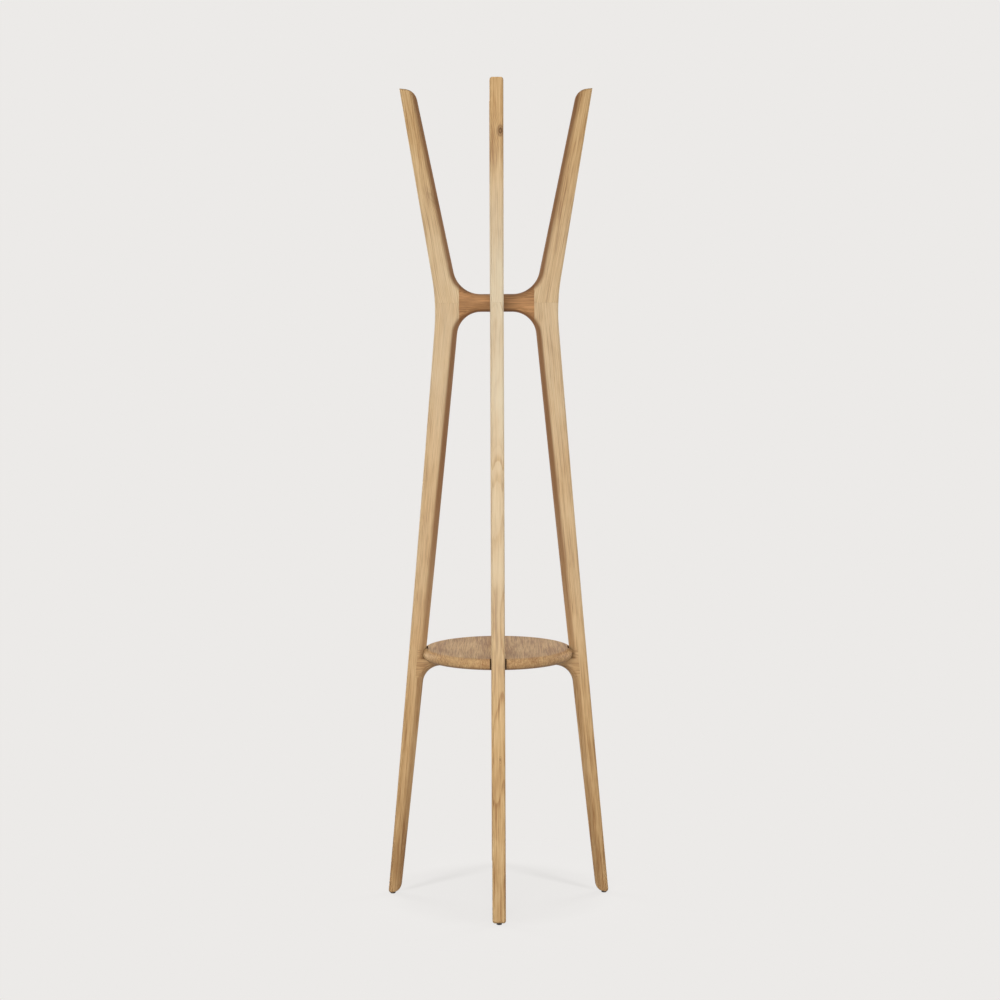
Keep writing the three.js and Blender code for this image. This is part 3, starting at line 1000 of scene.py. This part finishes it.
def screw_profile(sizes, room=0.0):
    """Head, shank and point of a countersunk screw, head down, from the axis to the axis."""
    _, low, high, diameter = stand(SCREW)
    head = diameter / 2 + room
    shank = sizes.screw_shank / 2 + room
    tall = high - low + room
    rim = 0.2 * MM
    return [
        at(0, -room),
        at(head, -room),
        at(head, rim + room),
        at(shank, sizes.screw_head),
        at(shank, tall - 2 * shank),
        at(shank / 6, tall),
        at(0, tall),
    ]


def set_round(stem, mesh, radius, height, slot, turn_share=0.0, seed=0):
    """Sets copies of a fitting evenly round the rack's axis, one for each side, as one piece."""
    group = bpy.data.node_groups.get("fittings round the axis") or fittings_round_the_axis()
    ring = in_scene("ring", mesh)
    setter = ring.modifiers.new("ring", "NODES")
    setter.node_group = group
    wanted = {
        "Count": len(SIDES),
        "Radius": radius,
        "Height": height,
        "Turn": turn_share,
        "Seed": seed,
        "Material": material(slot),
    }
    for item in group.interface.items_tree:
        if item.name in wanted:
            setter[item.identifier] = wanted[item.name]
    set_mesh = evaluated(ring)
    bpy.data.objects.remove(ring)
    nodes = [f"{stem}_{side}" for side in SIDES]
    return finished(f"{stem}s", set_mesh, material(slot), nodes)


def fittings_round_the_axis():
    """The node tree that sets copies of its geometry round the Z axis, facing out."""
    group = bpy.data.node_groups.new("fittings round the axis", "GeometryNodeTree")
    sockets = [
        ("Geometry", "NodeSocketGeometry", "One fitting, upright or pointing along X"),
        ("Count", "NodeSocketInt", "How many stand round the axis"),
        ("Radius", "NodeSocketFloat", "From the axis to each of them"),
        ("Height", "NodeSocketFloat", "Of each above the floor"),
        ("Turn", "NodeSocketFloat", "Share of a full turn that each may be turned by"),
        ("Seed", "NodeSocketInt", "For those turns"),
        ("Material", "NodeSocketMaterial", "Of every copy"),
    ]
    for label, kind, description in sockets:
        made = group.interface.new_socket(name=label, in_out="INPUT", socket_type=kind)
        made.description = description
    group.interface.new_socket(name="Geometry", in_out="OUTPUT", socket_type="NodeSocketGeometry")
    tree = Recipe(group)
    given = tree.node("NodeGroupInput").outputs
    number = tree.value(tree.node("GeometryNodeInputIndex").outputs["Index"])
    angle = number / given["Count"] * (2 * math.pi)
    radius = tree.value(given["Radius"])
    x, y = angle.math("COSINE") * radius, angle.math("SINE") * radius
    place = tree.vector(x, y, given["Height"])
    chance = tree.node(
        "FunctionNodeRandomValue",
        {"data_type": "FLOAT"},
        Min=0.0,
        Max=2 * math.pi,
        ID=number,
        Seed=given["Seed"],
    )
    turned = tree.value(next(output for output in chance.outputs if output.enabled))
    points = tree.node("GeometryNodePoints", Count=given["Count"], Position=place)
    copies = tree.node(
        "GeometryNodeInstanceOnPoints",
        Points=points.outputs["Points"],
        Instance=given["Geometry"],
        Rotation=tree.vector(0.0, 0.0, turned * given["Turn"] + angle),
    )
    plain = tree.node("GeometryNodeRealizeInstances", Geometry=copies.outputs["Instances"])
    coated = tree.node(
        "GeometryNodeSetMaterial", Geometry=plain.outputs["Geometry"], Material=given["Material"]
    )
    tree.node("NodeGroupOutput", Geometry=coated.outputs["Geometry"])
    return group


def keep_own_place(mesh):
    """Stores each point's own place, so that its grain stays with it when it is set."""
    grain = mesh.attributes.new("grain", "FLOAT_VECTOR", "POINT")
    for vertex in mesh.vertices:
        grain.data[vertex.index].vector = vertex.co


class RACK_OT_dowels(bpy.types.Operator):
    """Makes the fluted dowels of the waist, the hub rails and the bearer rails"""

    bl_idname = "rack.dowels"
    bl_label = "Dowels"

    def execute(self, context):
        sizes = context.scene.rack_fittings
        stems = (
            "waist_dowel",
            "hub_dowel_lower",
            "hub_dowel_upper",
            "bearer_dowel_lower",
            "bearer_dowel_upper",
        )
        for stem in stems:
            start, end, diameter = lie(f"{stem}_right")
            dowel = fluted_dowel(sizes, (end - start).length, diameter)
            keep_own_place(dowel)
            if stem != "waist_dowel":
                dowel.transform(Matrix.Rotation(math.pi / 2, 4, "Y"))
            middle = (start + end) / 2
            set_round(stem, dowel, middle.x, middle.z, "beech")
        return {"FINISHED"}


def fluted_dowel(sizes, tall, diameter):
    """An upright dowel, fluted along its length and chamfered at both ends."""
    half = tall / 2
    chamfer = sizes.dowel_chamfer
    radius = diameter / 2
    profile = [
        at(0, -half),
        at(radius - chamfer, -half),
        at(radius, chamfer - half),
        at(radius, half - chamfer),
        at(radius - chamfer, half),
        at(0, half),
    ]

    def fluted(radius, height, angle):
        hollow = 0.5 + 0.5 * math.cos(angle * sizes.flutes)
        return radius - sizes.flute_depth * hollow**2

    return turned_solid(profile, sizes.flutes * 8, fluted)


class RACK_OT_screws(bpy.types.Operator):
    """Makes the countersunk screws that hold the shelf down"""

    bl_idname = "rack.screws"
    bl_label = "Screws"

    def execute(self, context):
        sizes = context.scene.rack_fittings
        middle, low, _, _ = stand(SCREW)
        screw = threaded_screw(sizes)
        set_round("shelf_screw", screw, middle, low, "zinc_steel", 1.0, sizes.seed)
        return {"FINISHED"}


def threaded_screw(sizes):
    """A screw with its head down, a cross in the head and a thread up to its point."""
    plain = screw_profile(sizes)
    neck, shoulder, point = plain[3], plain[4], plain[5]
    turns = (point.y - neck.y) / sizes.thread_pitch
    steps = int(turns * 8)
    thread = []
    for i in range(1, steps):
        height = mix(neck.y, point.y, i / steps)
        narrow = max(0, (height - shoulder.y) / (point.y - shoulder.y))
        thread.append(at(mix(neck.x, point.x, narrow), height))

    def threaded(radius, height, angle):
        if not neck.y < height < point.y:
            return radius
        part = (height - neck.y) / sizes.thread_pitch - angle / (2 * math.pi)
        ridge = 1 - abs(2 * (part % 1) - 1)
        depth = sizes.thread_depth * radius / neck.x
        return radius - depth * (1 - ridge**2)

    blank = turned_solid([*plain[:4], *thread, *plain[5:]], 32, threaded)
    wide, narrow = plain[1].x * 0.62, sizes.screw_shank * 0.14
    arm = block((-wide, -narrow, -sizes.recess_depth), (wide, narrow, sizes.recess_depth))
    return carved(blank, *less(turn(arm, 0), turn(arm, 1)))


class RACK_OT_glides(bpy.types.Operator):
    """Makes the glides under the feet"""

    bl_idname = "rack.glides"
    bl_label = "Glides"

    def execute(self, context):
        sizes = context.scene.rack_fittings
        middle, low, top, diameter = stand(GLIDE)
        glide = barbed_glide(sizes, diameter, top)
        set_round("glide", glide, middle, low, "black_plastic", 1.0, sizes.seed)
        return {"FINISHED"}


def barbed_glide(sizes, diameter, tall):
    """A round plate with a barbed stem on it."""
    foot, stem = diameter / 2, sizes.glide_stem / 2
    edge, barb = sizes.glide_edge, sizes.barb_depth
    gate = stem / 3  # the small hollow that moulding leaves under the plate
    profile = [at(0, barb / 2), at(gate, barb / 2), at(gate + barb / 2, 0)]
    for i in range(7):
        angle = math.pi / 2 * i / 6
        profile.append(at(foot - edge * (1 - math.sin(angle)), edge * (1 - math.cos(angle))))
    profile += [at(foot, sizes.glide_plate), at(stem, sizes.glide_plate)]
    pitch = (tall - sizes.glide_plate - edge) / (sizes.barbs + 1)
    for i in range(1, sizes.barbs + 1):
        low = sizes.glide_plate + pitch * i
        profile += [at(stem - barb, low - pitch / 8), at(stem, low)]
        profile.append(at(stem - barb, low + pitch * 0.8))
    profile += [at(stem - barb - edge, tall), at(0, tall)]
    return turned_solid(profile, 64)


# ---- posts ----


# By post: degrees from its outer side round to the middle of the log, the distance to that
# middle, a place along the log, and lightness, warmth and share of painted sheen.
LEG_BOARDS = {
    "right": (200, 0.080, 3.0, (0.13, 0.18, 0.45)),
    "back": (150, 0.070, 4.1, (0.04, 0.10, 0.30)),
    "left": (25, 0.075, 5.2, (0.12, 0.20, 0.45)),
    "front": (186, 0.055, 6.6, (-0.03, 0.02, 0.85)),
}
ARM_BOARDS = {
    "right": (160, 0.090, 7.0, (0.06, 0.10, 0.35)),
    "back": (20, 0.070, 8.3, (0.02, 0.10, 0.30)),
    "left": (330, 0.060, 9.1, (0.12, 0.05, 0.45)),
    "front": (110, 0.090, 10.4, (0.02, 0.10, 0.90)),
}


def current_post():
    """The post with the sizes set in the scene."""
    scene = bpy.context.scene
    return Post(scene.rack_post, scene.rack_rails)


def inner_edge(sizes):
    """The edge profile on the inner side of posts and on the rails."""
    flat = 1 * MM
    return full_round(sizes.width, sizes.inner_rounding, sizes.inner_fullness, flat)


def slab(from_radius, to_radius, from_height, to_height):
    """A block between two radii and two heights, wider than any post."""
    return block((from_radius, -BEYOND / 2, from_height), (to_radius, BEYOND / 2, to_height))


def leg_mesh(post, fittings):
    """A leg, from its foot to the waist."""
    s = post.sizes
    under = post.bearer_lower_side()
    fillet = post.hub_lower_side()
    below = post.foot - 2 * s.inner_rounding
    inner = [
        *along(post.leg_inner, below, under[0].y)[:-1],
        *under,
        at(under[-1].x, post.housing_high),
        *along(post.leg_inner, post.housing_high, fillet[0].y)[:-1],
        *fillet,
        at(-post.hub_reach, post.hub_bottom),
        at(-post.hub_reach, BEYOND),
        at(BEYOND, BEYOND),
        at(BEYOND, below),
    ]
    holes = bores(
        fittings.hole_room,
        "hub_dowel_lower",
        "waist_dowel",
        "bearer_dowel_lower",
        "bearer_dowel_upper",
    )
    return carved(
        plank(post.outline(), quarter_round(s.width, s.outer_rounding)),
        ("INTERSECT", plank(inner, inner_edge(s))),
        ("INTERSECT", slab(post.hub_face, BEYOND, -BEYOND, post.waist - post.half_line)),
        *less(post.housing(post.half_line), *holes, *glide_seat(fittings)),
    )


def arm_mesh(post, fittings):
    """An arm, from the waist to its tip."""
    s = post.sizes
    above = post.top + 2 * s.inner_rounding
    inner = [
        at(-post.hub_reach, post.hub_top),
        *post.hub_upper_side(),
        *along(post.arm_inner, post.hub_top + 2 * post.rails.hub_upper_fillet, above),
        at(BEYOND, above),
        at(BEYOND, 0),
        at(-post.hub_reach, 0),
    ]
    return carved(
        plank(post.outline(), quarter_round(s.width, s.outer_rounding)),
        ("INTERSECT", plank(inner, inner_edge(s))),
        ("INTERSECT", slab(post.hub_face, BEYOND, post.waist + post.half_line, BEYOND)),
        *less(*bores(fittings.hole_room, "hub_dowel_upper", "waist_dowel")),
    )


def leg_knot(post, side, axis):
    """The knot in a leg, where it has one."""
    if side != "front":
        return None
    height = 0.335
    centre = (0.003, -post.leg_outer(height), height)
    return Knot(centre, (0, -1, 0), axis, width=0.0016, height=0.0045, darkness=0.9)


def arm_knot(post, side, axis):
    """The knot or swirl in an arm, where it has one."""
    if side == "front":
        height = 1.597
        centre = (0.0075, -post.arm_outer(height), height)
        return Knot(centre, (0, -1, 0), axis, width=0.0088, height=0.0145, darkness=0.9)
    if side == "left":
        height = 1.475
        centre = (-post.arm_inner(height) - 0.012, -post.sizes.width / 2, height)
        slanting = Matrix.Rotation(math.radians(-35), 3, "Y") @ Vector((0, 0, 1))
        return Knot(centre, (0, -1, 0), slanting, width=0.012, height=0.034, darkness=0.28)
    return None


def post_board(post, quarters, outer, low, high, boards, knot_in):
    """The board of a leg or arm that reaches from one height to another."""
    side = SIDES[quarters]
    angle, pith, run, tone = boards[side]
    quarter = math.pi / 2 * quarters
    about = Matrix.Rotation(quarter, 3, "Z")
    facing = Matrix.Rotation(quarter + math.radians(angle), 3, "Z") @ Vector((1, 0, 0))
    middle = (low + high) / 2
    centre = about @ Vector((outer(middle), 0, middle))
    axis = about @ Vector((outer(high) - outer(low), 0, high - low))
    knot = knot_in(post, side, axis)
    return Board(axis, centre, pith, facing, lean=0.006, run=run, tone=tone, knot=knot)


class RACK_OT_posts(bpy.types.Operator):
    """Makes the four legs and the four arms"""

    bl_idname = "rack.posts"
    bl_label = "Posts"

    def execute(self, context):
        post = current_post()
        fittings = context.scene.rack_fittings
        leg = (post.leg_outer, 0, post.waist, LEG_BOARDS, leg_knot)
        arm = (post.arm_outer, post.waist, post.top, ARM_BOARDS, arm_knot)
        kinds = (("leg", leg_mesh(post, fittings), leg), ("arm", arm_mesh(post, fittings), arm))
        for quarters, side in enumerate(SIDES):
            for stem, mesh, lies in kinds:
                name = f"{stem}_{side}"
                board = post_board(post, quarters, *lies)
                finished(name, turn(mesh, quarters), material("oak"), [name], board)
        return {"FINISHED"}


# ---- rails ----


# By rail: which way the middle of the log lay, how far off, a place along the log, and
# lightness, warmth and share of painted sheen.
RAIL_BOARDS = {
    "hub_rail_left_right": ((0, 0.3, -1), 0.045, 20.0, (-0.14, 0.90, 0.0)),
    "hub_rail_front_back": ((0.3, 0, -1), 0.050, 21.3, (-0.10, 0.70, 0.0)),
    "bearer_rail_left_right": ((0, 1, -0.2), 0.065, 22.1, (0.04, 0.30, 0.4)),
    "bearer_rail_front_back": ((1, 0, -0.2), 0.060, 23.7, (-0.06, 0.30, 0.0)),
}


def halving(post, middle, keeps_lower):
    """The cutter that takes the upper or lower half out of the middle of a rail."""
    half = post.sizes.width / 2 + post.rails.glue_line
    if keeps_lower:
        return slab(-half, half, middle - post.half_line, BEYOND)
    return slab(-half, half, 0, middle + post.half_line)


def both_ends(*tools):
    """The steps that take cutting tools away at both ends of a rail."""
    return less(*[turn(tool, quarters) for tool in tools for quarters in (0, 2)])


def hub_rail_mesh(post, fittings, keeps_lower):
    """A rail across the waist, flared at both ends."""
    upper = post.hub_upper_side()
    lower = post.hub_lower_side()
    far = 2 * post.sizes.waist_radius
    outline = [
        *mirrored(upper),
        *upper,
        at(far, upper[-1].y),
        at(far, lower[0].y),
        *lower,
        *mirrored(lower),
        at(-far, lower[0].y),
        at(-far, upper[-1].y),
    ]
    reach = post.hub_reach - post.half_line
    return carved(
        plank(outline, inner_edge(post.sizes)),
        ("INTERSECT", slab(-reach, reach, 0, BEYOND)),
        *both_ends(*bores(fittings.hole_room, "hub_dowel_lower", "hub_dowel_upper")),
        *less(halving(post, post.waist, keeps_lower)),
    )


def bearer_rail_mesh(post, fittings, keeps_lower):
    """A rail under the shelf, whose tall ends are let into the legs."""
    s = post.sizes
    under = post.bearer_lower_side()
    low = under[0].y - 2 * s.inner_rounding
    high = STAVE_HIGH.z + 2 * s.inner_rounding
    far = 2 * s.foot_radius
    rail_outline = [
        at(post.leg_inner(low), low),
        *under,
        *mirrored(under),
        at(-post.leg_inner(low), low),
        at(-far, low),
        at(-far, high),
        at(far, high),
        at(far, low),
    ]
    end_outline = [*along(post.leg_inner, low, high), at(far, high), at(far, low)]
    within = post.housing(-post.half_line)
    end = carved(plank(end_outline, inner_edge(s)), ("INTERSECT", within))
    room = fittings.hole_room
    middle, head_low, _, diameter = stand(SCREW)
    screw_hole = turned_solid(screw_profile(fittings, room), 32)
    screw_hole.transform(Matrix.Translation((middle, 0, head_low)))
    mouth = pin((middle, 0, 0), (middle, 0, head_low), diameter + 2 * room)
    dowel_holes = bores(room, "bearer_dowel_lower", "bearer_dowel_upper")
    return carved(
        plank(rail_outline, inner_edge(s)),
        ("INTERSECT", within),
        ("INTERSECT", turn(within, 2)),
        ("INTERSECT", slab(-BEYOND, BEYOND, 0, post.bearer_top)),
        ("UNION", end),
        ("UNION", turn(end, 2)),
        *both_ends(*dowel_holes, screw_hole, mouth),
        *less(halving(post, (post.bearer_bottom + post.bearer_top) / 2, keeps_lower)),
    )


class RACK_OT_rails(bpy.types.Operator):
    """Makes the crossed hub rails and the crossed bearer rails"""

    bl_idname = "rack.rails"
    bl_label = "Rails"

    def execute(self, context):
        post = current_post()
        fittings = context.scene.rack_fittings
        makers = {"hub_rail": hub_rail_mesh, "bearer_rail": bearer_rail_mesh}
        for name, (facing, pith, run, tone) in RAIL_BOARDS.items():
            stem, _, way = name.partition("_rail_")
            quarters = 0 if way == "left_right" else 1
            axis = (1, 0, 0) if quarters == 0 else (0, 1, 0)
            height = post.waist if stem == "hub" else post.bearer_bottom
            mesh = turn(makers[f"{stem}_rail"](post, fittings, quarters == 0), quarters)
            board = Board(axis, (0, 0, height), pith, facing, lean=0.02, run=run, tone=tone)
            finished(name, mesh, material("oak"), [name], board)
        return {"FINISHED"}


# ---- shelf ----


# By stave from the left, as for the rails.
STAVE_BOARDS = [
    ((1, 0, -0.3), 0.150, 30.0, (-0.17, 0.12, 0.2)),
    ((-1, 0, 0.2), 0.160, 31.2, (-0.15, 0.08, 0.2)),
    ((1, 0, -0.3), 0.140, 32.5, (-0.19, 0.12, 0.2)),
    ((-1, 0, 0.2), 0.150, 33.9, (-0.17, 0.12, 0.2)),
    ((1, 0, -0.3), 0.160, 35.1, (-0.19, 0.12, 0.2)),
]


def shelf_mesh(post, fittings):
    """The whole disc with its rounded edge, notched round the posts."""
    bottom = STAVE_LOW.z
    nose = (STAVE_HIGH.z - STAVE_LOW.z) / 2
    steps = 16
    profile = [at(0, bottom)]
    for i in range(steps + 1):
        angle = math.pi * (i / steps - 0.5)
        reach = SHELF_RADIUS - nose + nose * math.cos(angle)
        profile.append(at(reach, bottom + nose + nose * math.sin(angle)))
    profile.append(at(0, STAVE_HIGH.z))
    room = bpy.context.scene.rack_shelf.notch_room
    half = post.sizes.width / 2 + room
    notch = block((post.leg_inner(STAVE_HIGH.z) - room, -half, 0), (BEYOND, half, BEYOND))
    middle, low, high, _ = stand(SCREW)
    shank = fittings.screw_shank + 2 * fittings.hole_room
    hole = pin((middle, 0, low), (middle, 0, high + fittings.hole_room), shank)
    tools = [turn(tool, quarters) for quarters in range(len(SIDES)) for tool in (notch, hole)]
    return carved(turned_solid(profile, 192), *less(*tools))


class RACK_OT_shelf(bpy.types.Operator):
    """Makes the five staves of the shelf"""

    bl_idname = "rack.shelf"
    bl_label = "Shelf"

    def execute(self, context):
        post = current_post()
        disc = shelf_mesh(post, context.scene.rack_fittings)
        room = context.scene.rack_shelf.notch_room + TINY
        half_notch = post.sizes.width / 2 + room
        notch_start = post.leg_inner(STAVE_HIGH.z) - room
        notch_end = SHELF_RADIUS - 2 * MM  # the shelf's edge is no wall of a notch

        # the walls of the notches get painted shade
        def in_notch(polygon):
            """Whether a face is a wall of a notch."""
            near, far = sorted((abs(polygon.center.x), abs(polygon.center.y)))
            upright = abs(polygon.normal.z) < 0.5
            return upright and near < half_notch and notch_start < far < notch_end

        for index, (facing, pith, run, tone) in enumerate(STAVE_BOARDS):
            name = f"shelf_stave_{index + 1}"
            low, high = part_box(name)
            left = low.x - JOINT_GAP / 2 + post.half_line
            right = high.x + JOINT_GAP / 2 - post.half_line
            saw = block((left, -BEYOND / 2, 0), (right, BEYOND / 2, BEYOND))
            middle = ((low.x + high.x) / 2, 0, STAVE_LOW.z)
            board = Board((0, 1, 0), middle, pith, facing, lean=0.02, run=run, tone=tone)
            stave = carved(disc.copy(), ("INTERSECT", saw))
            finished(name, stave, material("oak"), [name], board, in_notch)
        return {"FINISHED"}


# ---- stage ----


class RACK_OT_stage(bpy.types.Operator):
    """Makes the floor, the room's light and the camera"""

    bl_idname = "rack.stage"
    bl_label = "Stage"

    def execute(self, context):
        look = context.scene.rack_stage
        set_floor(look)
        set_room(look)
        set_lights(look)
        set_camera(look)
        context.scene.view_settings.view_transform = "Standard"
        return {"FINISHED"}


def seen_directly(recipe):
    """1 for rays that show a surface as it is: from the camera, in gloss or through glass."""
    path = recipe.node("ShaderNodeLightPath")
    kinds = ("Is Camera Ray", "Is Glossy Ray", "Is Transmission Ray")
    camera, glossy, transmission = (recipe.value(path.outputs[kind]) for kind in kinds)
    return (camera + glossy + transmission).clamped()


def set_floor(look):
    """A pale floor of the backdrop's colour, which keeps some of the rack's shadow.

    A little darker pool under the rack and two trails that run back from the side feet are
    painted shadows.
    """
    half = 12.0
    corners = [(-half, -half, 0), (half, -half, 0), (half, half, 0), (-half, half, 0)]
    mesh = bpy.data.meshes.new("floor")
    mesh.from_pydata(corners, [], [(0, 1, 2, 3)])
    floor = in_scene("floor", mesh)
    made, paint = new_material("pale_floor")
    x, y, _ = paint.place()
    away = (x * x + y * y) ** 0.5
    near = 1 - away.between(0.2, 0.4)
    # painted shadow: a darker pool under the rack
    under = paint.blend(1 - away.between(0.19, 0.26), tuple(look.backdrop), tuple(look.under))
    # painted shadows of the side legs: trails from the side feet back towards the back foot
    foot_radius = stand(GLIDE)[0]
    from_line = (x.math("ABSOLUTE") + y - foot_radius).math("ABSOLUTE")
    breadth = y * 0.30 + 0.012
    leg_shadow_trail = (1 - (from_line / breadth).between(0, 1)) * y.between(0.0, 0.05)
    leg_shadow_trail = leg_shadow_trail * (1 - y.between(0.10, 0.22))
    glow_colour = paint.blend(leg_shadow_trail * 0.65, under, tuple(look.leg_shadow_trail))
    glow = paint.node("ShaderNodeEmission", Color=glow_colour, Strength=1.0)
    seen = seen_directly(paint)
    shown, thrown = (0.85, 0.84, 0.83), (0.2, 0.2, 0.2)  # the light it throws back is dim
    lit = paint.node("ShaderNodeBsdfDiffuse", Color=paint.blend(seen, thrown, shown))
    top = paint.between_shaders(seen * (1 - near * look.shadow), lit, glow)
    below = paint.value(paint.node("ShaderNodeNewGeometry").outputs["Backfacing"])
    clear = paint.node("ShaderNodeBsdfTransparent")
    paint.surface(paint.between_shaders(below * seen, top, clear))
    mesh.materials.append(made)


def set_room(look):
    """The pale backdrop, and the dim light that comes from all around."""
    world = bpy.data.worlds.new("room")
    world.use_nodes = True
    bpy.context.scene.world = world
    room = Recipe(world.node_tree)
    backdrop = room.node("ShaderNodeBackground", Color=tuple(look.backdrop), Strength=1.0)
    dim = room.node("ShaderNodeBackground", Color=(1.0, 1.0, 1.0), Strength=look.ambient)
    mixed = room.between_shaders(seen_directly(room), dim, backdrop)
    room.surface(mixed, "ShaderNodeOutputWorld")


def add_light(name, place, aim, width, height, power):
    """A soft box at a place, turned to shine at a point, and neither seen nor mirrored."""
    lamp = bpy.data.lights.new(name, "AREA")
    lamp.shape = "RECTANGLE"
    lamp.size = width
    lamp.size_y = height
    lamp.energy = power
    light = in_scene(name, lamp)
    light.location = place
    light.rotation_mode = "QUATERNION"
    light.rotation_quaternion = (Vector(aim) - Vector(place)).to_track_quat("-Z", "Y")
    light.visible_camera = False
    light.visible_glossy = False


def set_lights(look):
    """Soft boxes: one in front, one behind each side, all near the waist, and one overhead."""
    middle, level, tall = (0, 0, 1.0), 1.06, 1.4
    add_light("key", (-0.2, -2.2, level), middle, 1.0, tall, look.key_power)
    for side in (-1, 1):
        add_light("back", (side * 1.75, 1.3, level), middle, 0.9, tall, look.back_power)
    add_light("top", (0, -1.05, 12.0), (0, 0, 0.5), 1.5, 1.5, look.top_power)


def set_camera(look):
    """A camera a little to the left of the front, looking slightly down."""
    round_left = math.radians(0.3)
    turn_right = round_left + math.radians(0.0802)
    down = math.radians(5.16)
    roll = math.radians(-0.18)
    lens = bpy.data.cameras.new("camera")
    lens.sensor_width = 36.0
    lens.lens = 70.81
    camera = in_scene("camera", lens)
    camera.location = (
        -look.camera_distance * math.sin(round_left),
        -look.camera_distance * math.cos(round_left),
        look.camera_height,
    )
    camera.rotation_mode = "QUATERNION"
    way = Matrix.Rotation(-turn_right, 3, "Z") @ Matrix.Rotation(math.pi / 2 - down, 3, "X")
    camera.rotation_quaternion = (way @ Matrix.Rotation(roll, 3, "Z")).to_quaternion()
    bpy.context.scene.camera = camera


# ---- add-on ----


class RACK_PT_panel(bpy.types.Panel):
    """The coat rack's operators"""

    bl_label = "Coat rack"
    bl_idname = "RACK_PT_panel"
    bl_space_type = "VIEW_3D"
    bl_region_type = "UI"
    bl_category = "Coat rack"

    def draw(self, context):
        for operator in OPERATORS:
            self.layout.operator(operator.bl_idname)


OPERATORS = (
    RACK_OT_posts,
    RACK_OT_rails,
    RACK_OT_shelf,
    RACK_OT_dowels,
    RACK_OT_screws,
    RACK_OT_glides,
    RACK_OT_stage,
)
GROUPS = {
    "rack_post": PostSizes,
    "rack_rails": RailSizes,
    "rack_shelf": ShelfSizes,
    "rack_fittings": FittingSizes,
    "rack_oak": OakLook,
    "rack_stage": StageLook,
}


def register():
    for cls in (*GROUPS.values(), *OPERATORS, RACK_PT_panel):
        bpy.utils.register_class(cls)
    for name, group in GROUPS.items():
        setattr(bpy.types.Scene, name, PointerProperty(type=group))


def unregister():
    for name in GROUPS:
        delattr(bpy.types.Scene, name)
    for cls in reversed((*GROUPS.values(), *OPERATORS, RACK_PT_panel)):
        bpy.utils.unregister_class(cls)


def main():
    register()
    bpy.ops.rack.posts()
    bpy.ops.rack.rails()
    bpy.ops.rack.shelf()
    bpy.ops.rack.dowels()
    bpy.ops.rack.screws()
    bpy.ops.rack.glides()
    bpy.ops.rack.stage()


if __name__ == "__main__":
    main()
